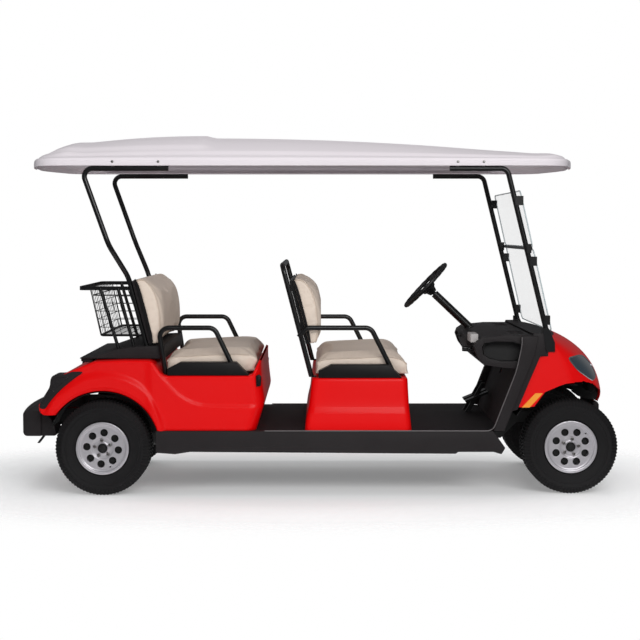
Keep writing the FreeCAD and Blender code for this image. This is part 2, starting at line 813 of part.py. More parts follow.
def build_rear_axle():
    """Axle tubes and gearbox turned as one, with the drive motor bolted ahead of the gearbox."""
    body = new_body("rear_axle")
    hub_face = size.rear_track / 2 - size.hub_inset - size.drum_hub_gap
    drum = hub_face - size.drum_thickness
    tip = size.rear_track / 2 - size.hub_inset + size.hub_bore_depth - size.spindle_end_gap
    box_half = size.gearbox_width / 2
    cone = box_half + size.axle_tube_radius
    section = new_sketch(body, "axle_section", "top")
    draw(section, [
        (0, -tip), (size.spindle_radius, -tip), (size.spindle_radius, -hub_face), (size.drum_radius, -hub_face),
        (size.drum_radius, -drum), (size.axle_tube_radius, -drum), (size.axle_tube_radius, -cone),
        (size.gearbox_radius, -box_half / 2), (size.gearbox_radius, box_half / 2),
        (size.axle_tube_radius, cone), (size.axle_tube_radius, drum), (size.drum_radius, drum),
        (size.drum_radius, hub_face), (size.spindle_radius, hub_face), (size.spindle_radius, tip), (0, tip)])
    revolve(body, "axle_turning", section)
    motor = new_sketch(body, "motor_ring", "end")
    draw_circle(motor, 0, size.motor_offset, size.motor_radius)
    pad(body, "drive_motor", motor, size.motor_length)
    place(body, size.rear_axle, 0, size.axle_height)


build_rear_axle()
rear_rail_bottom = mm.rail_bottom + mm.rail_kick_rise
rear_leaf = leaf_spring(mm.rear_axle, mm.axle_height + mm.axle_tube_radius, mm.rear_leaf_length,
                        mm.rear_leaf_rise, int(mm.rear_leaf_count), rear_rail_bottom,
                        mm.leaf_width + mm.leaf_side_gap)
rear_leaf.translate(Vector(0, mm.rail_outer - mm.rail_width - mm.leaf_side_gap - mm.leaf_width, 0))
shape_node("leaf_springs", both_sides(Part.makeCompound([front_leaf, rear_leaf])))


def build_chassis():
    """Two kicked-up side rails, two front horns and the cross members that join them."""
    body = new_body("chassis_frame")
    top = size.rail_bottom + size.rail_height
    kicked = size.rail_bottom + size.rail_kick_rise
    kick_end = size.rail_kick_start - size.rail_kick_run
    cross = draw(new_sketch(body, "cross_outline", "side"),
                 box_corners(size.rail_front - size.cross_width, size.rail_front, size.rail_bottom, top))
    pad(body, "front_cross_member", cross, size.rail_outer * 2, both_ways=True)
    middle = draw(new_sketch(body, "middle_cross_outline", "side"),
                  box_corners(size.cross_middle, size.cross_middle + size.cross_width, size.rail_bottom, top))
    rear = draw(new_sketch(body, "rear_cross_outline", "side"),
                box_corners(size.cross_rear, size.cross_rear + size.cross_width, size.rail_bottom, top))
    tail = draw(new_sketch(body, "tail_cross_outline", "side"),
                box_corners(size.rail_rear, size.rail_rear + size.cross_width, kicked, kicked + size.rail_height))
    side = new_sketch(body, "side_rail_outline", "side", height=-size.rail_outer)
    draw(side, [
        (size.rail_rear, kicked), (kick_end, kicked), (size.rail_kick_start, size.rail_bottom),
        (size.rail_front, size.rail_bottom), (size.rail_front, top),
        (size.rail_kick_start + size.cross_width / 2, top), (kick_end + size.cross_width / 2, kicked + size.rail_height),
        (size.rail_rear, kicked + size.rail_height)])
    left_rail = pad(body, "left_rail", side, size.rail_width)
    mirror(body, "side_rails", [left_rail], "side")
    for label, outline in (("middle_cross_member", middle), ("rear_cross_member", rear), ("tail_cross_member", tail)):
        pad(body, label, outline, size.rail_outer * 2, both_ways=True)
    horn = new_sketch(body, "horn_outline", "side", height=-size.horn_outer)
    horn_top = size.horn_bottom + size.horn_height
    horn_kick_end = size.horn_kick_start + size.horn_kick_run
    draw(horn, [
        (size.horn_start, size.rail_bottom), (size.horn_kick_start, size.rail_bottom),
        (horn_kick_end, size.horn_bottom), (size.horn_front, size.horn_bottom), (size.horn_front, horn_top),
        (horn_kick_end - size.cross_width / 2, horn_top), (size.horn_kick_start - size.cross_width / 2, top),
        (size.horn_start, top)])
    left_horn = pad(body, "left_horn", horn, size.rail_width)
    mirror(body, "front_horns", [left_horn], "side")
    nose = draw(new_sketch(body, "nose_cross_outline", "side"), box_corners(
        size.horn_front - size.cross_width / 2, size.horn_front, size.horn_bottom, horn_top))
    pad(body, "nose_cross_member", nose, size.horn_outer * 2, both_ways=True)


def build_floor():
    """Pressed floor with stiffening ribs below and a sloping toe board."""
    body = new_body("floor_pan")
    under = size.floor_top - size.floor_plate
    toe_x = size.floor_front + size.toe_run
    toe_z = size.floor_top + size.toe_rise
    outline = draw(new_sketch(body, "floor_outline", "side"), [
        (size.floor_rear, under), (size.floor_front + size.floor_plate, under),
        (toe_x + size.floor_plate, toe_z), (toe_x, toe_z),
        (size.floor_front, size.floor_top), (size.floor_rear, size.floor_top)])
    inner = size.body_half_width - size.sill_width
    pad(body, "floor_plate", outline, inner * 2, both_ways=True)
    rib = new_sketch(body, "floor_rib_outline", "end", height=size.floor_rear)
    low = size.rail_bottom + size.rail_height
    draw(rib, box_corners(-inner, -inner + size.floor_rib_width, low, under))
    first = pad(body, "floor_rib", rib, size.rail_front - size.floor_rear - size.cross_width)
    row = body.newObject("PartDesign::LinearPattern", "floor_ribs")
    row.Originals = [first]
    row.Direction = (next(line for line in body.Origin.OriginFeatures if line.Role == "Y_Axis"), [""])
    bind(row, "Length", inner * 2 - size.floor_rib_width)
    row.Occurrences = int(mm.floor_rib_count)
    row.setExpression("Occurrences", size.floor_rib_count.text)
    body.Tip = row
    slot = new_sketch(body, "shaft_slot_outline", "end", height=size.floor_front)
    column_side = size.pinion_place + size.lower_shaft_radius * 4
    draw(slot, box_corners(column_side, column_side + size.lower_shaft_radius * 5,
                           size.floor_top + size.toe_rise * 0.72, size.floor_top + size.toe_rise * 0.97))
    pocket(body, "shaft_slot", slot, size.toe_run + size.cut_overrun, back=True)


def build_sills():
    """Rocker mouldings under each side of the floor, hollow on the inner side."""
    body = new_body("sill_panels")
    outline = new_sketch(body, "sill_outline", "side", height=-size.body_half_width)
    length = size.sill_front - size.sill_rear
    height = size.floor_top - size.sill_bottom
    shares = ((0, 1), (0, 0.06), (0.056, 0), (0.098, 0.1), (0.858, 0.02), (0.865, 0.1), (0.966, 0.1),
              (0.989, 0), (1.0, 0.27), (0.965, 1))
    draw(outline, shared(shares, size.sill_rear, length, size.sill_bottom, height))
    moulding = pad(body, "sill_moulding", outline, size.sill_width)
    hollow = new_sketch(body, "sill_hollow", "side", height=-(size.body_half_width - size.sill_wall))
    draw(hollow, box_corners(
        size.sill_rear + length * 0.05, size.sill_rear + length * 0.94,
        size.sill_bottom + height * 0.12, size.floor_top - size.sill_wall))
    cut = pocket(body, "sill_inside", hollow, size.sill_width, back=True)
    mirror(body, "sill_pair", [moulding, cut], "side")


build_chassis()
build_floor()
build_sills()

battery = document.addObject("Part::Box", "battery_block")
battery.Label = "battery_block"
bind(battery, "Length", size.battery_length)
bind(battery, "Width", size.battery_width)
bind(battery, "Height", size.battery_height)
place(battery, size.battery_rear, -(size.battery_width / 2), size.floor_top)
nodes.append(battery)


def closed_polygon(corners, y=0.0):
    points = [Vector(x, y, z) for x, z in corners]
    return Part.makePolygon(points + points[:1])


def inset_prism(corners, wall, half_width):
    """The space inside an outline whose wall has the same thickness all round."""
    wire = closed_polygon(corners)
    inner = wire.makeOffset2D(-wall, 2)
    if Part.Face(inner).Area > Part.Face(wire).Area:
        inner = wire.makeOffset2D(wall, 2)
    face = Part.Face(inner)
    face.translate(Vector(0, -half_width, 0))
    return face.extrude(Vector(0, half_width * 2, 0))


def share_corners(shares, x_start, x_length, z_start, z_height):
    return [(x_start + x_length * x, z_start + z_height * z) for x, z in shares]


def box_between(x_low, x_high, y_low, y_high, z_low, z_high):
    return Part.makeBox(x_high - x_low, y_high - y_low, z_high - z_low, Vector(x_low, y_low, z_low))


def clipped_below(shape, level):
    """What lies above a level: a slanted foot cut flat where it stands."""
    reach = mm.cart_length
    return shape.cut(box_between(-reach, reach, -reach, reach, -reach, level))


# The rear body's side view in shares of its length and height, from the arch round the tail to the seat pod
rear_body_shares = (
    (0.472, 0.0), (0.472, 0.221), (0.022, 0.221), (0.002, 0.272), (0.0, 0.36), (0.106, 0.793), (0.133, 0.830),
    (0.201, 0.924), (0.250, 1.0), (0.503, 1.0), (0.556, 0.779), (0.943, 0.779), (0.9775, 1.0), (1.0, 0.38),
    (0.9645, 0.0))
# The lamp's side view lies on the tail's slope
tail_lamp_shares = (
    (-0.03, 0.343), (0.020, 0.297), (0.043, 0.459), (0.108, 0.609), (0.194, 0.785), (0.101, 0.776), (-0.03, 0.776))


def build_rear_body():
    """Moulded rear shell with wheel arches, flared lips, a seat pod and a luggage well."""
    width = mm.rear_body_half_width
    floor = mm.floor_top
    outline = share_corners(rear_body_shares, mm.rear_body_rear, mm.rear_body_length, floor, mm.rear_body_height)
    outer = side_prism(outline, -width, width)
    inner = inset_prism(outline, mm.panel_wall, width - mm.panel_wall)
    arch = cross_cylinder(mm.rear_axle, mm.axle_height, mm.arch_radius, -width * 2, width * 2)
    floor_line = floor + mm.rear_body_height * rear_body_shares[1][1]
    under = box_between(mm.rear_body_rear + mm.panel_wall * 5, mm.rear_axle, -width + mm.panel_wall,
                        width - mm.panel_wall, floor - mm.cut_overrun, floor_line + mm.panel_wall * 2)
    under_pod = box_between(mm.rear_axle, mm.rear_body_rear + mm.rear_body_length * 0.958,
                            -width + mm.panel_wall, width - mm.panel_wall, floor - mm.cut_overrun,
                            floor + mm.panel_wall * 2)
    pod_top = floor + mm.rear_body_height * rear_body_shares[10][1]
    well = box_between(mm.rear_pod_rear + mm.cut_overrun, mm.rear_pod_rear + mm.rear_pod_length,
                       -mm.seat_well_half_width, mm.seat_well_half_width, pod_top - mm.cut_overrun,
                       pod_top + mm.cut_overrun)
    deck_top = floor + mm.rear_body_height
    hatch = box_between(mm.deck_rear + mm.cut_overrun * 2.5, mm.rear_body_rear + mm.rear_body_length * 0.49,
                        -mm.seat_well_half_width + mm.cut_overrun, mm.seat_well_half_width - mm.cut_overrun,
                        deck_top - mm.cut_overrun / 2, deck_top + mm.cut_overrun)
    front = mm.rear_body_rear + mm.rear_body_length
    notch = box_between(front - mm.arch_radius / 3, front + mm.cut_overrun, -float(size.seat_trim_inner),
                        float(size.seat_trim_inner), pod_top + mm.cut_overrun, deck_top + mm.cut_overrun)
    ring = cross_cylinder(mm.rear_axle, mm.axle_height, mm.arch_radius + mm.arch_flare, width,
                          width + mm.arch_flare_stand)
    keep = side_prism(outline, width - mm.panel_wall, width + mm.arch_flare_stand)
    flare = both_sides(ring.common(keep))
    shell = outer.cut(inner).fuse(flare.Solids).cut(arch)
    lamp_zone = side_prism(share_corners(tail_lamp_shares, mm.rear_body_rear, mm.rear_body_length, floor,
                                         mm.rear_body_height), mm.tail_lamp_half_width - mm.tail_lamp_width,
                           width + mm.arch_flare_stand * 2)
    lamp_zone = lamp_zone.fuse(lamp_zone.mirror(Vector(), Vector(0, 1, 0)))
    lamps = outer.cut(inner).common(lamp_zone)
    shell = shell.cut([under, under_pod, well, hatch, notch, lamp_zone])
    shape_node("rear_body", shell)
    shape_node("tail_lamps", Part.makeCompound(lamps.Solids))
    return outer


body_skin = build_rear_body()


def build_front_pod():
    """Moulded base of the front seat: tapered walls with a stepped waistline."""
    floor = mm.floor_top
    length = mm.front_pod_length
    low_half = mm.front_pod_half_width
    levels = (
        (0.0, 0.0, 0.0, low_half),
        (0.34, 0.03, 0.02, low_half - mm.front_pod_crease_step / 2),
        (0.46, 0.04, 0.024, low_half - mm.front_pod_crease_step * 1.5),
        (1.0, 0.07, 0.039, mm.front_pod_top_half_width),
    )

    def loft(inset):
        wires = []
        for height, rear, front, half in levels:
            x_low = mm.front_pod_rear + length * rear + inset
            x_high = mm.front_pod_rear + length * (1 - front) - inset
            z = floor + mm.front_pod_height * height
            if inset and height == 0.0:
                z -= inset
            if inset and height == 1.0:
                z -= inset
            radius = mm.front_pod_corner - inset
            wires.append(rounded_rectangle(x_low, x_high, half - inset, z, radius))
        return Part.makeLoft(wires, True, True)

    pod_top = floor + mm.front_pod_height
    well = box_between(mm.front_pod_rear + mm.cut_overrun * 2, mm.front_pod_rear + length - mm.cut_overrun * 2,
                       -mm.seat_well_half_width, mm.seat_well_half_width, pod_top - mm.cut_overrun,
                       pod_top + mm.cut_overrun)
    shape_node("front_seat_base", loft(0).cut(loft(mm.panel_wall)).cut(well))


def rounded_rectangle(x_low, x_high, half, z, radius):
    """A level outline, wider than long, with four round corners."""
    turn = radius * (1 - math.sqrt(0.5))
    corners = []
    for x_sign, y_sign in ((1, -1), (1, 1), (-1, 1), (-1, -1)):
        x = x_high if x_sign > 0 else x_low
        y = y_sign * half
        along_x = Vector(x - x_sign * radius, y, z)
        along_y = Vector(x, y - y_sign * radius, z)
        middle = Vector(x - x_sign * turn, y - y_sign * turn, z)
        corners.append((along_x, middle, along_y) if x_sign * y_sign < 0 else (along_y, middle, along_x))
    edges = []
    for index, (first, middle, last) in enumerate(corners):
        edges.append(Part.Arc(first, middle, last).toShape())
        edges.append(Part.makeLine(last, corners[(index + 1) % len(corners)][0]))
    return Part.Wire(edges)


build_front_pod()

# The cowl's plan at each level: height, nose and shoulder as shares of the cowl's length ahead of its rear
cowl_level_shares = (
    (0.0, 0.962, 0.738), (0.105, 1.0, 0.772), (0.25, 0.985, 0.755), (0.40, 0.945, 0.705), (0.55, 0.872, 0.622),
    (0.70, 0.755, 0.500), (0.84, 0.585, 0.345), (0.94, 0.400, 0.210), (1.0, 0.22, 0.13))
# The fender line and the lamps in shares of the cowl's length and height, seen from the side
fender_shares = (
    (-0.40, -0.3), (-0.30, 0.01), (0.02, 0.03), (0.09, 0.215), (0.29, 0.31), (0.41, 0.345), (0.605, 0.362),
    (0.74, 0.32), (0.86, 0.20), (1.3, 0.13), (1.3, -0.3))
headlamp_shares = (
    (0.415, 0.665), (0.55, 0.69), (0.665, 0.655), (0.78, 0.53), (0.80, 0.42), (0.72, 0.375), (0.53, 0.50))
marker_shares = ((-0.172, 0.028), (-0.075, 0.028), (0.088, 0.215), (-0.005, 0.215))


def cowl_rear_at(share):
    """The cowl's rear edge leans forward with height, under the side risers."""
    return mm.cowl_rear - mm.sill_width * 4.4 * (1 - share)


def cowl_loft(inset):
    length = mm.cowl_nose - mm.cowl_rear
    half = mm.cowl_half_width - inset
    wires = []
    for share, nose, shoulder in cowl_level_shares:
        z = mm.cowl_bottom + (mm.cowl_top - mm.cowl_bottom) * share
        if inset:
            z -= mm.cut_overrun if share == 0.0 else inset
        nose_x = mm.cowl_rear + length * nose - inset
        shoulder_x = mm.cowl_rear + length * shoulder - inset
        rear_x = cowl_rear_at(share) - (mm.cut_overrun if inset else 0)
        bend_x = shoulder_x - (shoulder_x - cowl_rear_at(share)) * 0.3
        curve = Part.BSplineCurve()
        curve.interpolate([
            Vector(bend_x, -half, z), Vector(shoulder_x + (nose_x - shoulder_x) * 0.1, -half * 0.86, z),
            Vector(nose_x - (nose_x - shoulder_x) * 0.3, -half * 0.5, z), Vector(nose_x, 0, z),
            Vector(nose_x - (nose_x - shoulder_x) * 0.3, half * 0.5, z),
            Vector(shoulder_x + (nose_x - shoulder_x) * 0.1, half * 0.86, z), Vector(bend_x, half, z)])
        wires.append(Part.Wire([
            Part.makeLine(Vector(rear_x, -half, z), Vector(bend_x, -half, z)), curve.toShape(),
            Part.makeLine(Vector(bend_x, half, z), Vector(rear_x, half, z)),
            Part.makeLine(Vector(rear_x, half, z), Vector(rear_x, -half, z))]))
    return Part.makeLoft(wires, True, True)


def cowl_zone(shares, y_low):
    corners = share_corners(shares, mm.cowl_rear, mm.cowl_nose - mm.cowl_rear, mm.cowl_bottom,
                            mm.cowl_top - mm.cowl_bottom)
    zone = side_prism(corners, y_low, mm.cowl_half_width + mm.cut_overrun)
    return zone.fuse(zone.mirror(Vector(), Vector(0, 1, 0)))


def build_cowl():
    """Bonnet, nose and front fenders moulded as one hollow shell, open behind and below."""
    skin = cowl_loft(0).cut(cowl_loft(mm.cowl_wall))
    fender = cowl_zone(fender_shares, mm.cowl_wheel_inner)
    lamps = cowl_zone(headlamp_shares, mm.lamp_half_span - mm.lamp_width)
    markers = cowl_zone(marker_shares, mm.cowl_half_width - mm.cowl_wall * 2)
    shell = skin.cut([fender, lamps, markers])
    shape_node("front_cowl", max(shell.Solids, key=lambda solid: solid.Volume))
    shape_node("headlamps", Part.makeCompound(skin.common(lamps).Solids))
    shape_node("fender_markers", Part.makeCompound(skin.common(markers).cut(fender).Solids))


build_cowl()


def build_front_bumper():
    """Lower front apron, bolted to the ends of the frame horns."""
    body = new_body("front_bumper")
    outline = new_sketch(body, "apron_outline", "side")
    back = size.horn_front
    face = size.horn_front + size.front_bumper_depth
    top = size.cowl_bottom - size.seat_gap
    draw(outline, [
        (back, size.front_bumper_bottom), (face - size.front_bumper_depth / 3, size.front_bumper_bottom),
        (face, size.front_bumper_bottom + size.front_bumper_depth), (face, top - size.front_bumper_depth / 2),
        (face - size.front_bumper_depth / 4, top), (back, top)])
    pad(body, "apron", outline, size.front_bumper_half_width * 2, both_ways=True)


def build_rear_bumper():
    """Bowed moulded bumper on two plates from the ends of the side rails."""
    half = mm.bumper_half_width
    back = -mm.cart_length / 2
    depth = mm.bumper_depth
    bow = mm.bumper_bow
    low, high = mm.bumper_bottom, mm.bumper_bottom + mm.bumper_height
    outer = Part.Arc(Vector(back + bow, -half, low), Vector(back, 0, low), Vector(back + bow, half, low)).toShape()
    inner = Part.Arc(Vector(back + bow + depth, -half, low), Vector(back + depth, 0, low),
                     Vector(back + bow + depth, half, low)).toShape()
    ends = [Part.makeLine(outer.Vertexes[index].Point, inner.Vertexes[index].Point) for index in (0, 1)]
    block = Part.Face(Part.Wire([outer, ends[1], inner, ends[0]])).extrude(Vector(0, 0, high - low))
    outer_edges = [edge for edge in block.Edges
                   if edge.BoundBox.XMin < back + bow + mm.panel_wall and edge.BoundBox.XMax < back + bow + depth / 2]
    block = block.makeFillet(mm.bumper_round, outer_edges)
    rail_top = mm.rail_bottom + mm.rail_kick_rise + mm.rail_height
    plate_top = min(high, rail_top) - mm.panel_wall * 2
    plate = box_between(back + bow / 2 + depth / 2, mm.rail_rear, mm.rail_outer - mm.rail_width,
                        mm.rail_outer - mm.rail_width + mm.bumper_bracket,
                        plate_top - mm.bumper_bracket_height, plate_top)
    shape_node("rear_bumper", fused([block, plate, plate.mirror(Vector(), Vector(0, 1, 0))]))


build_front_bumper()
build_rear_bumper()

deck_outline_shares = ((0.0, 0.0), (0.0, 0.08), (0.16, 0.12), (0.39, 0.64), (0.65, 0.90), (1.0, 1.0), (1.0, 0.0))


def lean_line(rear, height):
    """Where the back of a seat's cushion lies at a height: it leans towards the rear."""
    return rear - (height - mm.seat_back_bottom) * math.tan(math.radians(mm.seat_back_lean))


def rear_post_path(side):
    """Centre line of a rear post: along the roof, down the corner, then in behind the seat back."""
    slope = math.cos(math.radians(mm.seat_back_lean))
    setback = (mm.back_shell_wall + mm.post_radius) / slope + mm.seat_gap * 2
    height = mm.seat_back_bottom + mm.seat_back_height
    knee = Vector(lean_line(mm.rear_seat_back_rear, height) - setback, side * mm.post_foot_place, height)
    foot_z = mm.floor_top + mm.rear_body_height - mm.post_radius
    foot = Vector(lean_line(mm.rear_seat_back_rear, foot_z) - setback, side * mm.post_foot_place, foot_z)
    shoulder = Vector(mm.rear_post_corner + (knee.x - mm.rear_post_corner) * 0.62, side * mm.post_place,
                      height + (mm.post_top - height) * 0.30)
    return [Vector(mm.rear_post_front_end, side * mm.post_place, mm.post_top),
            Vector(mm.rear_post_corner, side * mm.post_place, mm.post_top), shoulder, knee, foot]


def build_rear_deck():
    """Black moulded deck behind the rear seat, with the roof posts passing through it."""
    outline = share_corners(deck_outline_shares, mm.deck_rear, mm.deck_length, mm.deck_bottom, mm.deck_height)
    half = mm.deck_half_width
    outer = side_prism(outline, -half, half)
    inner = inset_prism(outline, mm.panel_wall, half - mm.panel_wall)
    open_below = box_between(mm.deck_rear + mm.deck_length * 0.2, mm.deck_rear + mm.deck_length - mm.panel_wall,
                             -half + mm.panel_wall, half - mm.panel_wall, mm.deck_bottom - mm.cut_overrun,
                             mm.deck_bottom + mm.panel_wall * 1.5)
    deck = outer.cut([inner, open_below])
    for side in (-1, 1):
        deck = deck.cut(tube(rear_post_path(side)[3:], [], mm.post_radius + mm.seat_gap))
    shape_node("rear_deck", deck)


build_rear_deck()

dash_shares = (
    (1.0, 1.0), (0.50, 1.0), (0.12, 0.93), (0.03, 0.81), (0.0, 0.65), (0.05, 0.38), (0.14, 0.13), (0.42, 0.05),
    (0.72, 0.0), (1.0, 0.0))
bin_place_shares = ((-0.88, -0.2), (0.66, 0.93))
side_bin_shares = (
    (0.12, 0.42), (0.10, 0.66), (0.14, 0.80), (0.30, 0.86), (0.62, 0.84), (0.72, 0.76), (0.76, 0.56), (0.73, 0.30),
    (0.66, 0.20), (0.42, 0.19), (0.22, 0.28))


def column_point(along):
    """A point on the steering column's centre line, measured down from the wheel's hub."""
    angle = math.radians(mm.column_angle)
    return Vector(mm.wheel_hub_x + along * math.cos(angle), mm.driver_place,
                  mm.wheel_hub_z - along * math.sin(angle))


def straight_bar(start, end, radius):
    run = end - start
    return Part.makeCylinder(radius, run.Length, start, run)


def shaft_points():
    """The column's foot, the universal joint above the rack, and the top of the pinion tower."""
    pinion = Vector(float(size.rod_x), mm.pinion_place, float(size.rod_z) + mm.pinion_height)
    return column_point(mm.column_length), pinion + Vector(-mm.joint_setback, 0, mm.joint_rise), pinion


def build_dashboard():
    """Moulded dash, open in front and below, with glove bins and a hole for the column."""
    half = mm.dash_half_width
    outline = share_corners(dash_shares, mm.dash_rear, mm.dash_length, mm.dash_bottom, mm.dash_height)
    outer = side_prism(outline, -half, half)
    inner = inset_prism(outline, mm.dash_wall, half - mm.dash_wall)
    open_front = box_between(mm.dash_rear + mm.dash_length * 0.5, mm.dash_rear + mm.dash_length + mm.cut_overrun,
                             -half + mm.dash_wall, half - mm.dash_wall, mm.dash_bottom - mm.cut_overrun,
                             mm.dash_bottom + mm.dash_height - mm.dash_wall)
    dash = outer.cut([inner, open_front])
    back = mm.dash_rear + mm.bin_depth
    for low_share, high_share in bin_place_shares:
        low, high = half * low_share, half * high_share
        bin_block = box_between(mm.dash_rear - mm.cut_overrun, back, low, high, mm.bin_bottom,
                                mm.bin_bottom + mm.bin_height).common(outer)
        hollow = box_between(mm.dash_rear - mm.cut_overrun, back - mm.dash_wall, low + mm.dash_wall,
                             high - mm.dash_wall, mm.bin_bottom + mm.dash_wall,
                             mm.bin_bottom + mm.bin_height - mm.dash_wall)
        dash = dash.fuse(bin_block).cut(hollow)
    dash = dash.cut(straight_bar(column_point(0), column_point(mm.column_length), mm.column_radius + mm.seat_gap))
    shaft_top, joint, _ = shaft_points()
    dash = dash.cut(straight_bar(shaft_top, joint, mm.lower_shaft_radius * 1.8))
    mouth = share_corners(side_bin_shares, mm.dash_rear, mm.dash_length, mm.dash_bottom, mm.dash_height)
    depth = half - mm.side_bin_depth
    liner = side_prism(mouth, depth - mm.dash_wall, half)
    hollow = inset_prism(mouth, mm.dash_wall, half * 2).common(
        box_between(mm.dash_rear, mm.dash_rear + mm.dash_length, depth, half * 2, mm.dash_bottom,
                    mm.dash_bottom + mm.dash_height))
    dash = dash.fuse([liner, liner.mirror(Vector(), Vector(0, 1, 0))])
    dash = dash.cut([hollow, hollow.mirror(Vector(), Vector(0, 1, 0))])
    roof = mm.dash_bottom + mm.dash_height
    for middle, step in ((-1, -0.5), (-1, 0.5), (1, -0.5), (1, 0.5)):
        place_y = middle * mm.cup_place + step * mm.cup_spacing
        centre = Vector(mm.dash_rear + mm.cup_setback, place_y, roof - mm.cup_depth)
        cup = Part.makeCylinder(mm.cup_radius + mm.dash_wall, mm.cup_depth, centre)
        bowl = Part.makeCylinder(mm.cup_radius, mm.cup_depth, centre + Vector(0, 0, mm.dash_wall))
        dash = dash.fuse(cup).cut(bowl)
    shape_node("dashboard", max(dash.Solids, key=lambda solid: solid.Volume))


build_dashboard()


def build_side_risers():
    """Slanted side trims from the sills up to the dash, one each side."""
    body = new_body("side_risers")
    outline = new_sketch(body, "riser_outline", "side", height=-size.riser_outer)
    foot = size.floor_top + size.seat_gap
    height = size.riser_top - foot
    toe = size.dash_rear + size.dash_length * 0.29
    reach = size.dash_length * 0.67
    shares = ((0, 0), (0.245, 0), (0.47, 0.265), (0.93, 0.81), (1.0, 1.0), (0.63, 1.0), (0.63, 0.90), (0.51, 0.64))
    draw(outline, shared(shares, toe, reach, foot, height))
    first = pad(body, "left_riser", outline, size.riser_width)
    mirror(body, "riser_pair", [first], "side")


def build_pedals():
    """Two pedals on arms that rise from the toe board's foot."""
    solids = []
    foot = mm.floor_top + mm.seat_gap
    reach = mm.pedal_width * 1.7
    for place_y, width in ((mm.brake_place, mm.pedal_width), (mm.throttle_place, mm.pedal_width * 0.7)):
        low, high = place_y - width / 2, place_y + width / 2
        arm = side_prism([
            (mm.pedal_rear, foot), (mm.pedal_rear + mm.pedal_arm * 3, foot),
            (mm.pedal_rear + reach * 0.85, foot + reach * 1.25), (mm.pedal_rear + reach * 0.7, foot + reach * 1.25)],
            place_y - mm.pedal_arm / 2, place_y + mm.pedal_arm / 2)
        plate = side_prism([
            (mm.pedal_rear, foot + reach * 0.5), (mm.pedal_rear + mm.pedal_arm / 2, foot + reach * 0.42),
            (mm.pedal_rear + reach, foot + reach * 0.82), (mm.pedal_rear + reach - mm.pedal_arm / 2, foot + reach * 0.9)],
            low, high)
        solids.append(arm.fuse(plate))
    shape_node("pedals", Part.makeCompound(solids))


build_side_risers()
build_pedals()

# Seat cushions, in shares of the cushion's length and height, clockwise from the lower rear corner
front_cushion_shares = (
    (0.01, 0.0), (0.0, 0.60), (0.07, 0.80, 0.10), (0.76, 1.0), (0.958, 0.74, 0.30), (1.0, 0.26, 0.20), (0.995, 0.0))
rear_cushion_shares = (
    (0.01, 0.0), (0.0, 0.60), (0.07, 0.80, 0.10), (0.80, 1.0), (0.965, 0.86, 0.24), (1.0, 0.58, 0.12),
    (0.92, 0.0, 0.60))


def outline_wire(corners, middle, ratio, y):
    """An outline in the side view, drawn in towards its middle by a ratio."""
    points = [Vector(middle[0] + (float(corner[0]) - middle[0]) * ratio,
                     middle[1] + (float(corner[1]) - middle[1]) * ratio, 0) for corner in corners]
    edges = []
    for index, corner in enumerate(corners):
        start, finish = points[index - 1], points[index]
        if len(corner) == 3:
            edges.append(arc_between(start, finish, float(corner[2]) * ratio).toShape())
        else:
            edges.append(Part.makeLine(start, finish))
    wire = Part.Wire(edges)
    wire.rotate(Vector(), Vector(1, 0, 0), 90)
    wire.translate(Vector(0, y, 0))
    return wire


def padded_block(corners, middle, half_width):
    """A pad across the cart whose outline draws in towards its middle at both ends."""
    pull = 1 - mm.cushion_round * 1.3 / mm.cushion_height
    full = half_width - mm.cushion_round
    wires = [outline_wire(corners, middle, ratio, y)
             for y, ratio in ((-half_width, pull), (-full, 1), (full, 1), (half_width, pull))]
    return Part.makeLoft(wires, True, True)


def build_cushion(label, rear, length, lift, shares):
    """A padded bench cushion on its board, rounded at its ends."""
    bottom = size.cushion_bottom + lift
    corners = shared(shares, rear, length, bottom, size.cushion_height)
    middle = (float(rear + length / 2), float(bottom) + mm.cushion_height / 2)
    shape_node(label, padded_block(corners, middle, mm.cushion_half_width))


build_cushion("front_seat_cushion", size.front_cushion_rear, size.front_cushion_length, 0, front_cushion_shares)
build_cushion("rear_seat_cushion", size.rear_cushion_rear, size.rear_cushion_length, size.seat_pan,
              rear_cushion_shares)


def build_seat_trim(label, rear, length, bottom, rear_share, front_share):
    """Seat board under the cushion, with a raised black moulding along each side."""
    body = new_body(label, is_node=False)
    top = bottom + size.seat_pan - size.seat_gap
    board = draw(new_sketch(body, f"{label}_board_outline", "side"),
                 box_corners(rear + length * 0.06, rear + length * 0.90, bottom, top))
    pad(body, f"{label}_board", board, size.seat_trim_inner * 2, both_ways=True)
    side = new_sketch(body, f"{label}_side_outline", "side", height=-size.seat_trim_outer)
    peak = bottom + size.seat_trim_height
    draw(side, [
        (rear + length * rear_share, bottom), (rear + length * rear_share, bottom + size.seat_trim_height / 2),
        (rear + length * (rear_share + 0.14), peak), (rear + length * (front_share - 0.14), peak),
        (rear + length * front_share, bottom)])
    left = pad(body, f"{label}_left", side, size.seat_trim_outer - size.seat_trim_inner)
    mirror(body, f"{label}_sides", [left], "side")
    document.recompute()
    return body.Shape


front_pod_top = size.floor_top + size.front_pod_height
rear_pod_top = size.floor_top + size.rear_body_height * 0.779
front_trim = build_seat_trim("front_trim_moulding", size.front_cushion_rear, size.front_cushion_length,
                             front_pod_top, 0.02, 0.93)
rear_trim = build_seat_trim("rear_trim_moulding", size.rear_cushion_rear, size.rear_cushion_length,
                            rear_pod_top, 0.02, 0.91)
shape_node("seat_trims", Part.makeCompound(front_trim.Solids + rear_trim.Solids))

# Seat backs in shares of their depth and height, clockwise from the lower rear corner
seat_back_depth_share = 0.41
seat_back_front_shares = (
    (0.28, 1.0, 0.30), (0.80, 0.75, 1.41), (1.0, 0.42, 2.4), (0.985, 0.12, 4.2), (0.72, 0.0, 0.36))


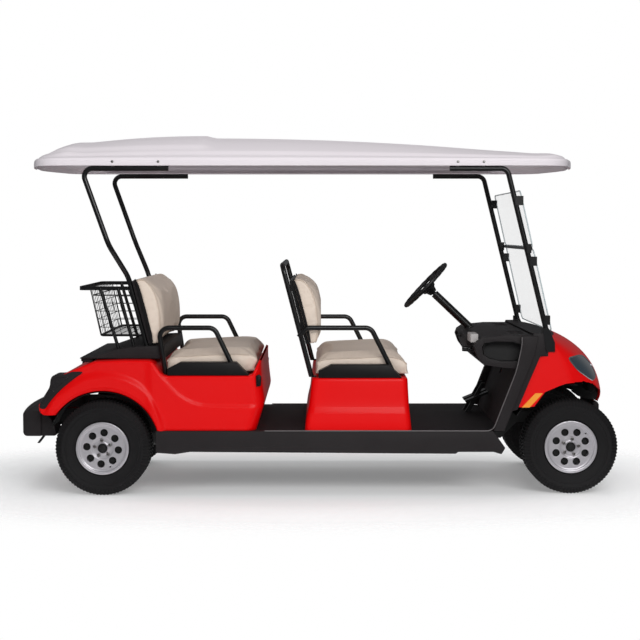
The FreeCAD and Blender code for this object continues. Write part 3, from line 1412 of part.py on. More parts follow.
def seat_back_at(rear):
    """Padded backrest with a straight back and a bulging front."""
    height = size.seat_back_height
    depth = height * seat_back_depth_share
    foot = rear - size.seat_back_height * math.tan(math.radians(mm.seat_back_lean))
    corners = [(rear, size.seat_back_bottom), (lean_line(float(rear), mm.seat_back_bottom + float(height) * 0.94),
                                               size.seat_back_bottom + height * 0.94)]
    corners += shared(seat_back_front_shares, foot, depth, size.seat_back_bottom, height)
    middle = (float(foot + depth / 2), mm.seat_back_bottom + mm.seat_back_height / 2)
    return padded_block(corners, middle, mm.seat_back_half_width)


shape_node("seat_backs", Part.makeCompound([
    seat_back_at(size.front_seat_back_rear), seat_back_at(size.rear_seat_back_rear)]))


def back_shell(rear, half_width):
    """The moulded shell behind a backrest, as tall as the backrest's straight back."""
    thick = mm.back_shell_wall / math.cos(math.radians(mm.seat_back_lean))
    low, high = mm.seat_back_bottom, mm.seat_back_bottom + mm.seat_back_height * 0.94
    gap = mm.seat_gap
    return side_prism([
        (lean_line(rear, low) - gap, low), (lean_line(rear, high) - gap, high),
        (lean_line(rear, high) - gap - thick * 0.5, high + thick * 0.4),
        (lean_line(rear, high) - gap - thick, high), (lean_line(rear, low) - gap - thick, low)],
        -half_width, half_width)


def build_back_frames():
    rear = mm.front_seat_back_rear
    half = mm.seat_back_half_width - mm.cushion_round / 2
    slope = math.cos(math.radians(mm.seat_back_lean))
    setback = (mm.back_shell_wall + mm.back_tube_radius) / slope
    foot_z = mm.floor_top + mm.front_pod_height
    spread = mm.back_tube_spread
    hoop_points = []
    for side, level in ((-1, foot_z), (-1, mm.back_tube_top), (1, mm.back_tube_top), (1, foot_z)):
        hoop_points.append(Vector(lean_line(rear, level) - setback, side * spread, level))
    bend = mm.hip_rail_bend
    sunk = Vector(math.tan(math.radians(mm.seat_back_lean)), 0, -1) * mm.back_tube_radius
    hoop_points[0] += sunk
    hoop_points[-1] += sunk
    hoop = clipped_below(tube(hoop_points, [bend, bend], mm.back_tube_radius), foot_z)
    plate_rear = mm.front_pod_rear + mm.front_pod_rear_lean
    plates = [box_between(plate_rear, mm.front_cushion_rear, side * spread - mm.back_tube_radius * 1.5,
                          side * spread + mm.back_tube_radius * 1.5, foot_z, foot_z + mm.foot_plate)
              for side in (-1, 1)]
    bars = []
    for share in (0.15, 0.8):
        level = mm.seat_back_bottom + mm.seat_back_height * share
        x = lean_line(rear, level) - setback
        bars.append(straight_bar(Vector(x, -spread, level), Vector(x, spread, level), mm.back_tube_radius))
    frame = fused([hoop, back_shell(rear, half)] + bars + plates)
    shape_node("front_seat_back_frame", frame)
    shape_node("rear_seat_back_shell", back_shell(mm.rear_seat_back_rear, half))
    return frame


front_frame = build_back_frames()


def standing(rail, seats):
    """The part of a tube that lies clear of the pieces it stands on."""
    return max(rail.cut(seats).Solids, key=lambda solid: solid.Volume)


def hip_rail(points, bends):
    return tube([Vector(x, y, z) for x, y, z in points], bends, mm.rail_tube_radius)


def build_hip_rails():
    """Bent tube rails at the ends of each bench, standing on the seat trims and the body."""
    top = mm.hip_rail_height
    bend = mm.hip_rail_bend
    front_top, rear_top = float(front_pod_top), float(rear_pod_top)
    slope = math.cos(math.radians(mm.seat_back_lean))
    hoop_x = lean_line(mm.front_seat_back_rear, top) - (mm.back_shell_wall + mm.back_tube_radius) / slope
    rails = []
    for side, setback in ((-1, 0.0), (1, mm.driver_rail_setback)):
        y = side * mm.hip_rail_place
        rail = hip_rail([
            (hoop_x, y, top - bend), (hoop_x + bend * 0.9, y, top), (mm.front_hip_rail_front - setback, y, top),
            (mm.front_hip_rail_foot - setback, y, front_top)], [bend * 0.5, bend])
        rails.append(standing(rail, [front_frame, front_trim]))
    for side in (-1, 1):
        y = side * mm.hip_rail_place
        rail = hip_rail([
            (mm.rear_hip_rail_rear_foot, y, rear_top - mm.panel_wall), (mm.rear_hip_rail_rear, y, top),
            (mm.rear_hip_rail_front, y, top), (mm.rear_hip_rail_foot, y, rear_top)], [bend, bend])
        rails.append(standing(rail, [rear_trim, body_skin]))
    shape_node("hip_rails", Part.makeCompound(rails))


build_hip_rails()


# Where the stays leave the rim, and how far they follow the lean of the basket's rear wall
basket_stay_shares = (0.42, 0.75)
basket_stay_slope_share = 0.65


def build_basket():
    """Open net basket behind the rear seat, hung from its rim on two stays a side."""
    top = mm.basket_top
    low = top - mm.basket_drop
    half = mm.basket_half_width
    wall = mm.basket_wall
    x_low, x_high = mm.basket_rear, mm.basket_rear + mm.basket_length
    lean = mm.basket_lean
    front_lean = mm.basket_front_lean
    outer = side_prism([(x_low, top), (x_high, top), (x_high + front_lean, low), (x_low + lean, low)], -half, half)
    inner = side_prism([
        (x_low + wall, top + wall), (x_high - wall, top + wall), (x_high + front_lean - wall * 1.6, low + wall),
        (x_low + lean + wall * 0.6, low + wall)], -half + wall, half - wall)
    solids = [outer.cut(inner)]
    radius = mm.basket_stay_radius
    deck = side_prism(share_corners(deck_outline_shares, mm.deck_rear, mm.deck_length, mm.deck_bottom,
                                    mm.deck_height), -half * 2, half * 2)
    for side in (-1, 1):
        y = side * (half + radius / 2)
        for share in basket_stay_shares:
            x = x_low + mm.basket_length * share
            run = lean * (top - mm.deck_bottom) / mm.basket_drop
            stay = straight_bar(Vector(x, y, top), Vector(x + run * basket_stay_slope_share, y, mm.deck_bottom), radius)
            solids.append(clipped_below(stay, mm.deck_bottom).cut(deck))
    shape_node("basket", fused(solids))


build_basket()


def front_post_path(side):
    y = side * mm.post_place
    return [Vector(mm.front_post_rear_end, y, mm.post_top), Vector(mm.front_post_corner, y, mm.post_top),
            Vector(mm.front_post_foot, y, mm.cowl_top)]


def front_post_at(height):
    """Where a front post's centre line lies at a height."""
    share = (mm.post_top - height) / (mm.post_top - mm.cowl_top)
    return mm.front_post_corner + (mm.front_post_foot - mm.front_post_corner) * share


def post_foot_bracket():
    """Bracket under a front post: a flange on the cowl and a plate down its side."""
    top = mm.cowl_top + mm.seat_gap
    thick = mm.post_bracket
    rear = mm.front_post_foot - mm.post_radius * 2
    front = rear + mm.post_bracket_length
    side = mm.cowl_half_width + mm.seat_gap
    drop = mm.post_bracket_drop
    plate = side_prism([
        (rear, top), (rear, top + mm.post_radius * 2), (rear + mm.post_radius * 2.4, top + mm.post_radius * 2),
        (front + thick, top - drop * 0.5), (front + thick, top - drop), (rear + mm.post_bracket_length * 0.4, top - drop)],
        side, side + thick)
    flange = box_between(rear, mm.front_post_foot, mm.post_place - mm.post_radius, side + thick, top, top + thick)
    return plate.fuse(flange)


def build_posts():
    """Four bent tube posts, the front pair on brackets over the cowl's shoulders."""
    top = mm.floor_top + mm.rear_body_height
    bends = [mm.post_bend, mm.post_bend * 3, mm.post_bend * 3]
    posts = [clipped_below(tube(rear_post_path(side), bends, mm.post_radius), top) for side in (-1, 1)]
    bracket = post_foot_bracket()
    post = clipped_below(tube(front_post_path(1), [mm.post_bend], mm.post_radius), mm.cowl_top + mm.seat_gap)
    front = post.fuse(bracket).removeSplitter()
    posts.extend([front, front.mirror(Vector(), Vector(0, 1, 0))])
    shape_node("roof_posts", Part.makeCompound(posts))


build_posts()

# Height of the roof's crown along its length, in shares of the length and of the crown's rise
roof_crown_shares = (
    (0.0, 0.10), (0.04, 0.42), (0.10, 0.72), (0.22, 0.95), (0.34, 1.0), (0.53, 0.93), (0.70, 0.76), (0.84, 0.52),
    (0.93, 0.38), (0.975, 0.25), (1.0, 0.08))
# Stations over the bowed end, in shares of the bow, and round the corner, in shares of its radius
roof_bow_shares = (0.05, 0.25, 0.6, 1.0)
roof_corner_shares = (0.15, 0.4, 0.7, 1.0)
roof_middle_shares = (0.14, 0.22, 0.34, 0.45, 0.56, 0.70, 0.80, 0.87)


def roof_stations(inset):
    """Distances along the roof, each with the half width its plan has there."""
    length = mm.roof_front - mm.roof_rear - inset * 2
    half = mm.roof_half_width - inset
    straight = half - mm.roof_corner
    end = [(mm.roof_end_bow * share, straight * math.sqrt(share)) for share in roof_bow_shares]
    for share in roof_corner_shares:
        end.append((mm.roof_end_bow + mm.roof_corner * share,
                    straight + mm.roof_corner * math.sqrt(1 - (1 - share) ** 2)))
    middle = [(length * share, half) for share in roof_middle_shares]
    return end + middle + [(length - along, width) for along, width in reversed(end)]


def crown_rise(along):
    """The crown's rise over the rim at a share of the roof's length."""
    for (low, low_rise), (high, high_rise) in zip(roof_crown_shares, roof_crown_shares[1:]):
        if along <= high:
            return mm.roof_crown * (low_rise + (high_rise - low_rise) * (along - low) / (high - low))
    return mm.roof_crown * roof_crown_shares[-1][1]


def roof_loft(inset):
    """The roof's domed block: an arched section at each station, standing on the rim's lower edge."""
    rear = mm.roof_rear + inset
    rim = mm.roof_rim_bottom + mm.roof_rim_height - inset
    low = mm.roof_rim_bottom - (mm.cut_overrun if inset else 0)
    wires = []
    for along, half in roof_stations(inset):
        x = rear + along
        crown = rim + crown_rise((x - mm.roof_rear) / (mm.roof_front - mm.roof_rear))
        arch = Part.Arc(Vector(x, -half, rim), Vector(x, 0, crown), Vector(x, half, rim)).toShape()
        wires.append(Part.Wire([
            Part.makeLine(Vector(x, -half, low), Vector(x, -half, rim)), arch,
            Part.makeLine(Vector(x, half, rim), Vector(x, half, low)),
            Part.makeLine(Vector(x, half, low), Vector(x, -half, low))]))
    return Part.makeLoft(wires, True, True)


def build_roof():
    outer = roof_loft(0)
    inner = roof_loft(mm.roof_wall)
    low = mm.roof_rim_bottom
    flange = box_between(mm.rear_post_corner - mm.post_bend, mm.front_post_corner + mm.post_bend,
                         mm.roof_half_width - mm.roof_flange, mm.roof_half_width - mm.roof_wall / 2,
                         low, low + mm.roof_wall)
    shape_node("roof_canopy", fused([outer.cut(inner), flange, flange.mirror(Vector(), Vector(0, 1, 0))]))


build_roof()


def glass_pane(foot, head, half_width):
    run = Vector(head[0] - foot[0], 0, head[1] - foot[1])
    across = Vector(run.z, 0, -run.x).normalize() * mm.glass_thickness
    points = [Vector(foot[0], -half_width, foot[1]), Vector(head[0], -half_width, head[1])]
    points += [points[1] + across, points[0] + across]
    return Part.Face(Part.makePolygon(points + points[:1])).extrude(Vector(0, half_width * 2, 0))


# Heights of the clips that hold the panes, in shares of the windshield's height
clip_height_shares = (0.08, 0.50, 0.93)


def glass_clamp(level, front, side):
    """A block between a front post and the glass ahead of it."""
    half = mm.clamp_width / 2
    y = side * mm.post_place
    return box_between(front_post_at(level), front, y - half, y + half, level - mm.clamp_height / 2,
                       level + mm.clamp_height / 2)


def build_windshield():
    """Two clear panes clipped ahead of the front posts, with a cross bar at the fold."""
    foot = (mm.glass_foot, mm.glass_foot_height)
    fold = (mm.glass_fold, mm.glass_fold_height)
    head = (mm.glass_top, mm.glass_top_height)
    half = mm.glass_half_width
    gap = mm.glass_gap
    lower_top = (fold[0] + gap * 0.35, fold[1] - gap)
    upper_foot = (fold[0] - gap * 0.35, fold[1] + gap)
    panes = [glass_pane(foot, lower_top, half), glass_pane(upper_foot, head, half)]
    shape_node("windshield", Part.makeCompound(panes))
    radius = mm.fold_bar_radius
    bar_x = fold[0] - radius - mm.seat_gap
    mounts = [cross_cylinder(bar_x, fold[1], radius, -mm.post_place, mm.post_place)]
    for side in (-1, 1):
        post = tube(front_post_path(side), [mm.post_bend], mm.post_radius)
        mounts.append(glass_clamp(fold[1], bar_x, side).cut(post))
        for share in clip_height_shares:
            level = foot[1] + (head[1] - foot[1]) * share
            pane_foot, pane_head = (foot, lower_top) if level < fold[1] else (upper_foot, head)
            lean = (level - pane_foot[1]) / (pane_head[1] - pane_foot[1])
            back = pane_foot[0] + (pane_head[0] - pane_foot[0]) * lean
            clip = glass_clamp(level, back + mm.glass_thickness, side).cut([post] + panes)
            mounts.append(max(clip.Solids, key=lambda solid: solid.Volume))
    frame = fused(mounts[:1] + [mounts[1], mounts[1 + len(mounts) // 2]])
    clips = [item for index, item in enumerate(mounts) if index not in (0, 1, 1 + len(mounts) // 2)]
    shape_node("windshield_mounts", Part.makeCompound(frame.Solids + clips))


build_windshield()


def build_steering_column():
    """Column tube under the wheel's hub and the jointed shaft down to the pinion tower."""
    top = column_point(mm.column_gap)
    end = column_point(mm.column_length)
    outer = straight_bar(top, end, mm.column_radius)
    bore = straight_bar(column_point(-mm.cut_overrun), column_point(mm.column_length / 2),
                        mm.column_shaft_radius + mm.column_shaft_gap)
    _, joint, pinion = shaft_points()
    radius = mm.lower_shaft_radius
    lower = straight_bar(column_point(mm.column_length - mm.column_radius), joint, radius)
    knuckle = Part.makeSphere(radius * 1.4, joint)
    drop = straight_bar(joint, pinion + Vector(0, 0, radius / 2), radius)
    plate = Part.makeCylinder(mm.pinion_radius, radius, pinion, Vector(0, 0, 1))
    shape_node("steering_column", fused([outer.cut(bore), lower, knuckle, drop, plate]))


def build_steering_wheel():
    """Dished wheel: hub, three spokes and a round rim, with the shaft that runs in the column."""
    body = new_body("steering_wheel")
    rim_circle = size.steering_wheel_diameter / 2 - size.steering_rim_radius
    rim = new_sketch(body, "rim_ring", "side")
    draw_circle(rim, rim_circle, size.steering_dish, size.steering_rim_radius)
    revolve(body, "steering_rim", rim)
    hub = new_sketch(body, "hub_section", "side")
    draw(hub, [
        (0, -size.column_length * 0.4), (size.column_shaft_radius, -size.column_length * 0.4),
        (size.column_shaft_radius, 0), (size.column_radius, 0),
        (size.steering_hub_radius, size.steering_hub_height), (size.steering_hub_radius, size.steering_dish * 0.8),
        (size.steering_hub_radius * 0.7, size.steering_dish), (0, size.steering_dish)])
    revolve(body, "steering_hub", hub)
    spoke = new_sketch(body, "spoke_outline", "side")
    draw(spoke, [
        (size.steering_hub_radius * 0.8, size.steering_hub_height),
        (rim_circle, size.steering_dish - size.steering_spoke_radius / 2),
        (rim_circle, size.steering_dish + size.steering_spoke_radius / 2),
        (size.steering_hub_radius * 0.8, size.steering_dish * 0.8)])
    first = pad(body, "spoke", spoke, size.steering_spoke_radius * 3, both_ways=True)
    spokes = body.newObject("PartDesign::PolarPattern", "spokes")
    spokes.Originals = [first]
    spokes.Axis = (next(line for line in body.Origin.OriginFeatures if line.Role == "Z_Axis"), [""])
    spokes.Angle = 360
    spokes.Occurrences = int(mm.steering_spoke_count)
    spokes.setExpression("Occurrences", size.steering_spoke_count.text)
    body.Tip = spokes
    tilt = FreeCAD.Rotation(Vector(0, 1, 0), mm.column_angle - 90)
    body.Placement = FreeCAD.Placement(Vector(), tilt)
    place(body, size.wheel_hub_x, size.driver_place, size.wheel_hub_z)


build_steering_column()
build_steering_wheel()

document.recompute()
os.makedirs("parts", exist_ok=True)
faults = [item.Name for item in document.Objects if "Invalid" in item.State or "Error" in item.State]
for item in nodes:
    if item.Shape.isNull() or not item.Shape.isValid():
        faults.append(item.Label)
if faults:
    raise RuntimeError("These objects failed: " + ", ".join(faults))
for item in nodes:
    item.Shape.exportStep(os.path.join("parts", item.Label + ".step"))
    bounds = item.Shape.BoundBox
    print(f"{item.Label}: {item.Shape.Volume / 1e6:.2f} dm3, "
          f"x {bounds.XMin:.1f}..{bounds.XMax:.1f} y {bounds.YMin:.1f}..{bounds.YMax:.1f} "
          f"z {bounds.ZMin:.1f}..{bounds.ZMax:.1f}")
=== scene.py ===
import math

import bmesh
import bpy
from mathutils import Matrix, Vector


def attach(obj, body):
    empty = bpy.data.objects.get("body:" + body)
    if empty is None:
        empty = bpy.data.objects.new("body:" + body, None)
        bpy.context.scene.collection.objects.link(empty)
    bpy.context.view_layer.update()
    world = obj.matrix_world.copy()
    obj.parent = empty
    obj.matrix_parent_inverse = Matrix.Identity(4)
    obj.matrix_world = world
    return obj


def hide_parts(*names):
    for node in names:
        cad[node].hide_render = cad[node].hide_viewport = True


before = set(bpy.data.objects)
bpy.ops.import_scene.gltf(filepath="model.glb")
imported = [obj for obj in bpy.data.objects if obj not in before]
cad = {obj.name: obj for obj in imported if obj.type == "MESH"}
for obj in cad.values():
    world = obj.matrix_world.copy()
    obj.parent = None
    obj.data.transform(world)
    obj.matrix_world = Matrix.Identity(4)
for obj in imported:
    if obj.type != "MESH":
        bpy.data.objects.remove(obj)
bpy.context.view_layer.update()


# Chassis, axles and steering linkage
# A ladder frame of welded steel tube carries the whole cart, with the battery block strapped between its rails.
# The axle beam, rear axle and leaf springs bolt on underneath. Knuckles, rack and tie rod are plain drop forgings.

def colour(code):
    """An sRGB hex colour as the linear values that shaders take."""
    channels = []
    for place in (1, 3, 5):
        value = int(code[place:place + 2], 16) / 255
        channels.append(value / 12.92 if value <= 0.04045 else ((value + 0.055) / 1.055) ** 2.4)
    return (*channels, 1.0)


def add(tree, kind, inputs, **settings):
    """Adds one shader node: its settings, then each input as a value or a link from another node's output."""
    made = tree.nodes.new("ShaderNode" + kind)
    for label, value in settings.items():
        setattr(made, label, value)
    for place, value in inputs.items():
        if isinstance(value, bpy.types.NodeSocket):
            tree.links.new(value, made.inputs[place])
        else:
            made.inputs[place].default_value = value
    return made


def finish(name, base, second, tone_mm, rough, grain_mm, bump, cells=False, **sockets):
    """Two close tones in slow noise, uneven gloss and a fine relief. Both patterns' sizes are in millimetres.

    A pixel of the photograph is 5 mm on the cart. Real grain is finer than that, so there it only breaks up the
    highlights. It is drawn at up to twice its real size, so that closer views show it.
    """
    material = bpy.data.materials.new(name)
    material.use_nodes = True
    tree = material.node_tree
    shader = tree.nodes["Principled BSDF"]
    spot = add(tree, "TexCoord", {}).outputs["Object"]
    tones = add(tree, "TexNoise", {"Vector": spot, "Scale": 1000 / tone_mm, "Detail": 5.0}).outputs["Fac"]
    mixed = add(tree, "Mix", {"Factor": tones, "A": colour(base), "B": colour(second)}, data_type="RGBA")
    gloss = add(tree, "MapRange", {"Value": tones, "To Min": rough[0], "To Max": rough[1]})
    if cells:
        relief = add(tree, "TexVoronoi", {"Vector": spot, "Scale": 1000 / grain_mm}).outputs["Distance"]
    else:
        relief = add(tree, "TexNoise", {"Vector": spot, "Scale": 1000 / grain_mm, "Detail": 3.0}).outputs["Fac"]
    lift = add(tree, "Bump", {"Height": relief, "Strength": bump, "Distance": 0.0006})
    tree.links.new(mixed.outputs["Result"], shader.inputs["Base Color"])
    tree.links.new(gloss.outputs["Result"], shader.inputs["Roughness"])
    tree.links.new(lift.outputs["Normal"], shader.inputs["Normal"])
    for label, value in sockets.items():
        shader.inputs[label.replace("_", " ")].default_value = value
    return material


def dress(material, *nodes):
    """Gives a finish to CAD nodes whose own shapes are shown."""
    for node in nodes:
        cad[node].data.materials.clear()
        cad[node].data.materials.append(material)


# Chassis enamel, brushed over mild steel: flat black, uneven where it lies thin, with brush marks 3 mm wide.
chassis_enamel = finish("chassis_enamel", "#0D0D0E", "#161617", 200, (0.45, 0.65), 3.3, 0.3)
# Polyester powder coat, baked on steel tube: satin black that takes soft highlights, with 0.8 mm orange peel.
powder_coat = finish("powder_coat", "#070708", "#0D0D0E", 167, (0.25, 0.36), 0.83, 0.1)
# Drop-forged steel, left as it cooled: dull grey metal, its scale in patches about 120 mm across.
forged_steel = finish("forged_steel", "#3A3A3C", "#2C2C2E", 125, (0.35, 0.6), 2.9, 0.3, Metallic=0.8)
dress(chassis_enamel, "chassis_frame", "battery_block")
dress(powder_coat, "front_axle_beam", "rear_axle", "leaf_springs")
dress(forged_steel, "knuckle_left", "knuckle_right", "tie_rod", "steering_rack")


# Floor, sills and side risers
# The pressed floor pan lies on the frame under a ribbed rubber mat. Moulded plastic sills clip along its edges, and
# risers of the same moulding carry their line up beside the cowl. A thin grey bead along their top edge is a painted
# highlight.

def show(name, mesh, body, material, stands_for=(), smooth=35.0):
    """Put a mesh in the scene as a piece that rides on a body."""
    item = bpy.data.objects.new(name, mesh)
    bpy.context.scene.collection.objects.link(item)
    mesh.materials.append(material)
    mesh.shade_smooth()
    if smooth:
        mesh.set_sharp_from_angle(angle=math.radians(smooth))
    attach(item, body)
    if stands_for:
        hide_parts(*stands_for)
    return item


def as_mesh(bm, name):
    """A mesh with its faces turned outwards, from a bmesh that is done with."""
    bmesh.ops.recalc_face_normals(bm, faces=bm.faces)
    mesh = bpy.data.meshes.new(name)
    bm.to_mesh(mesh)
    bm.free()
    return mesh


def rounded(bm, name, width, segments=3, angle=28.0):
    """A shape whose edges are rounded where its faces turn by more than an angle."""
    bmesh.ops.remove_doubles(bm, verts=bm.verts, dist=1e-5)
    corners = [edge for edge in bm.edges if edge.calc_face_angle(0.0) > math.radians(angle)]
    bmesh.ops.bevel(bm, geom=corners, offset=width, offset_type="OFFSET", affect="EDGES", segments=segments,
                    profile=0.5, material=-1, clamp_overlap=False, loop_slide=True)
    return as_mesh(bm, name)


def softened(node, width, material):
    """A moulding in a CAD node's own form with its edges rounded, standing for the node."""
    bm = bmesh.new()
    bm.from_mesh(cad[node].data)
    bmesh.ops.remove_doubles(bm, verts=bm.verts, dist=1e-5)
    bmesh.ops.dissolve_limit(bm, angle_limit=math.radians(1.0), verts=bm.verts, edges=bm.edges)
    name = node + "_moulding"
    show(name, rounded(bm, name, width), "cart", material, (node,))


def sheet_of(rows, closed_rows=False, closed_columns=False, into=None):
    """Quads over rows of points."""
    bm = into or bmesh.new()
    grid = [[bm.verts.new(point) for point in row] for row in rows]
    count = len(grid)
    for i in range(count if closed_rows else count - 1):
        first, second = grid[i], grid[(i + 1) % count]
        width = len(first)
        for j in range(width if closed_columns else width - 1):
            k = (j + 1) % width
            corners = [first[j], first[k], second[k], second[j]]
            if len({corner.co.to_tuple(7) for corner in corners}) > 2:
                try:
                    bm.faces.new(corners)
                except ValueError:
                    pass
    return bm, grid


def lofted(rings, into=None):
    """A closed skin through rings of points."""
    bm, grid = sheet_of(rings, closed_columns=True, into=into)
    bm.faces.new(grid[0])
    bm.faces.new(grid[-1])
    return bm


def eased_path(points, bends, steps=8):
    """A polyline with its inner corners rounded."""
    points = [Vector(point) for point in points]
    path = [points[0]]
    for index in range(1, len(points) - 1):
        before, here, after = points[index - 1:index + 2]
        bend = bends[index - 1] if index - 1 < len(bends) else 0
        if not bend:
            path.append(here)
            continue
        start = here + (before - here).normalized() * bend
        end = here + (after - here).normalized() * bend
        for step in range(steps + 1):
            t = step / steps
            path.append(start * (1 - t) ** 2 + here * 2 * t * (1 - t) + end * t * t)
    path.append(points[-1])
    return path


def tube_into(bm, path, radius, sides=12, closed=False):
    """A round bar along a path."""
    path = [Vector(point) for point in path]
    count = len(path)
    rings = []
    side = None
    for index, point in enumerate(path):
        before = path[index - 1] if index or closed else point
        after = path[(index + 1) % count] if index < count - 1 or closed else point
        ahead = (after - before).normalized()
        side = ahead.orthogonal().normalized() if side is None else (side - ahead * side.dot(ahead)).normalized()
        other = ahead.cross(side)
        rings.append([point + (side * math.cos(a) + other * math.sin(a)) * radius
                      for a in (math.tau * step / sides for step in range(sides))])
    if closed:
        sheet_of(rings, closed_rows=True, closed_columns=True, into=bm)
    else:
        lofted(rings, into=bm)


# Moulded rubber sheet: near-black and quite matt, with a pebbled face of 2 mm cells that hides scuffs.
rubber_mat = finish("rubber_mat", "#1B191A", "#232022", 167, (0.6, 0.75), 2.0, 0.5, True, Specular_IOR_Level=0.2)
# Grained polypropylene, injection moulded: charcoal, half matt, its leather grain of 1.4 mm dulling reflections.
black_polypropylene = finish("black_polypropylene", "#1F1C1D", "#292627", 250, (0.42, 0.56), 1.43, 0.35, True,
                             Specular_IOR_Level=0.15)
# Painted highlight along the top edge of the sills and risers: a thin grey line, with finer grain than the plastic.
painted_edge_highlight = finish("painted_edge_highlight", "#4E4A4B", "#5C5859", 33, (0.35, 0.5), 1.1, 0.2)
dress(rubber_mat, "floor_pan")
softened("sill_panels", 0.004, black_polypropylene)
softened("side_risers", 0.004, black_polypropylene)

BOTH = (-1, 1)
# A thin pale tube along the top edge of the sills and risers, as a painted highlight.
bead = bmesh.new()
for side in BOTH:
    y = side * 0.5868
    tube_into(bead, eased_path([(-0.255, y, 0.3262), (0.872, y, 0.3262), (0.8915, y, 0.345), (1.0004, y, 0.629),
                                (1.0265, y, 0.755), (1.0265, y, 0.796)], [0.02, 0.015, 0.04, 0.02], 5), 0.0030, 8)
show("sill_edge_highlights", as_mesh(bead, "sill_edge_highlights"), "cart", painted_edge_highlight)


# Wheels
# Low turf tyres on pressed steel rims, the rear pair wider in track. Each rim has a lacquered cover with eight round
# holes and a dished middle, and goes over the hub's studs with five plated nuts.

# Cured tyre rubber: soft black with no shine, greyer in patches where the tread has met the ground.
tyre_rubber = finish("tyre_rubber", "#121112", "#1B1A1B", 111, (0.6, 0.78), 2.4, 0.35, Specular_IOR_Level=0.2)
# Silver lacquer sprayed on pressed steel: pale metal with broad soft highlights and almost no grain (0.7 mm).
silver_lacquer = finish("silver_lacquer", "#CFCCD0", "#BDBABF", 200, (0.26, 0.4), 0.67, 0.05, Metallic=0.65)
# Near-black liner plastic with no highlight, as it leaves the mould. In the wheels' hollows and in the gaps that the
# aprons fill, the same black is painted shade, so that openings look deep.
liner_black_and_painted_shade = finish("liner_black_and_painted_shade", "#060606", "#0B0B0B", 200, (0.6, 0.8), 2.5, 0.2)
# Zinc plating on steel nuts and bolts: small bright points with a warm grey cast, mottled every 30 mm.
zinc_plate = finish("zinc_plate", "#8F8D8B", "#757371", 33, (0.2, 0.35), 3.3, 0.2, Metallic=1.0)

LUGS = 84
# Half of the tyre's section from the bead to the middle: radius, place across, tread groove depth, row of blocks
tyre_half = (
    (0.1030, 0.0770, 0, 0), (0.1120, 0.0798, 0, 0), (0.1160, 0.0812, 0, 0), (0.1250, 0.0838, 0, 0),
    (0.1320, 0.0852, 0, 0), (0.1380, 0.0880, 0, 0), (0.1405, 0.0895, 0, 0), (0.1430, 0.0890, 0, 0),
    (0.1560, 0.0928, 0, 0), (0.1700, 0.0975, 0, 0), (0.1805, 0.1003, 0, 0), (0.1825, 0.1022, 0, 0),
    (0.1850, 0.1026, 0, 0), (0.1872, 0.1012, 0, 0), (0.1950, 0.1045, 0, 0), (0.2020, 0.1068, 0, 0),
    (0.2045, 0.1068, 0, 0), (0.2060, 0.1058, 0.0035, 1), (0.2140, 0.1002, 0.0042, 1), (0.2255, 0.0922, 0.0040, 1),
    (0.2345, 0.0856, 0.0034, 1), (0.2370, 0.0820, 0.0030, 1), (0.2374, 0.0760, 0.0030, 1),
    (0.2375, 0.0520, 0.0030, 1), (0.2370, 0.0505, 0.0030, 3), (0.2312, 0.0490, 0, 3), (0.2312, 0.0440, 0, 3),
    (0.2370, 0.0425, 0.0064, 2), (0.2375, 0.0410, 0.0065, 2), (0.2375, 0.0070, 0.0065, 2),
    (0.2370, 0.0055, 0.0064, 2), (0.2312, 0.0040, 0, 3))
# Place along, place across, outward side, and the angles of the first hole and of the valve
wheels = {
    "wheel_front_left": (1.2825, 0.440, 1, 67, 42), "wheel_front_right": (1.2825, -0.440, -1, 67, 42),
    "wheel_rear_left": (-1.0655, 0.490, 1, 84, -68), "wheel_rear_right": (-1.0655, -0.490, -1, 84, -68),
}
AXLE = 0.2375


def build_tyre(body, x, y, side):
    """A tyre with its tread blocks: the section, turned round the axle in steps that cut the grooves."""
    section = list(tyre_half) + [(r, -across, depth, row) for r, across, depth, row in reversed(tyre_half)]
    rings = []
    for lug in range(LUGS):
        for place, first, second in ((0.0, 1, 0), (0.09, 0, 1), (0.50, 0, 1), (0.59, 1, 0)):
            turn = math.tau * (lug + place) / LUGS
            ring = []
            for radius, across, depth, row in section:
                low = (row == 1 and first) or (row == 2 and second)
                r = radius - (depth if low else 0.0)
                ring.append((x + r * math.cos(turn), y + side * across, AXLE + r * math.sin(turn)))
            rings.append(ring)
    bm, _ = sheet_of(rings, closed_rows=True, closed_columns=True)
    name = body.replace("wheel", "tyre")
    show(name + "_tread", as_mesh(bm, name + "_tread"), body, tyre_rubber, (name,), smooth=42)


# The wheel's front face: radius and place outward of the wheel's middle, from the rim's edge to the centre
cover_face = (
    (0.1320, 0.0935), (0.1322, 0.0965), (0.1312, 0.0995), (0.1290, 0.1005), (0.1200, 0.0995), (0.1180, 0.0985),
    (0.1165, 0.0955), (0.1150, 0.0920), (0.1125, 0.0905), (0.1060, 0.0898), (0.0990, 0.0895), (0.0590, 0.0890),
    (0.0560, 0.0885), (0.0535, 0.0870), (0.0515, 0.0840), (0.0490, 0.0828), (0.0310, 0.0826), (0.0285, 0.0840),
    (0.0275, 0.0890), (0.0262, 0.0905), (0.0250, 0.0905), (0.0240, 0.0890))


def turned(bm, profile, centre, axis, steps, closed=False):
    """Spins a line of points once round an axis, as on a lathe."""
    line = [bm.verts.new(point) for point in profile]
    edges = [bm.edges.new(pair) for pair in zip(line, line[1:] + line[:1] if closed else line[1:])]
    bmesh.ops.spin(bm, geom=line + edges, cent=centre, axis=axis, dvec=(0, 0, 0), angle=math.tau, steps=steps,
                   use_merge=True)
    bmesh.ops.remove_doubles(bm, verts=bm.verts, dist=1e-5)


def peg(bm, start, end, radius, sides=12, taper=1.0):
    """A round or many-sided peg between two points."""
    lie = Matrix.Translation((start + end) / 2) @ (end - start).to_track_quat("Z", "Y").to_matrix().to_4x4()
    bmesh.ops.create_cone(bm, cap_ends=True, segments=sides, radius1=radius, radius2=radius * taper,
                          depth=(end - start).length, matrix=lie)


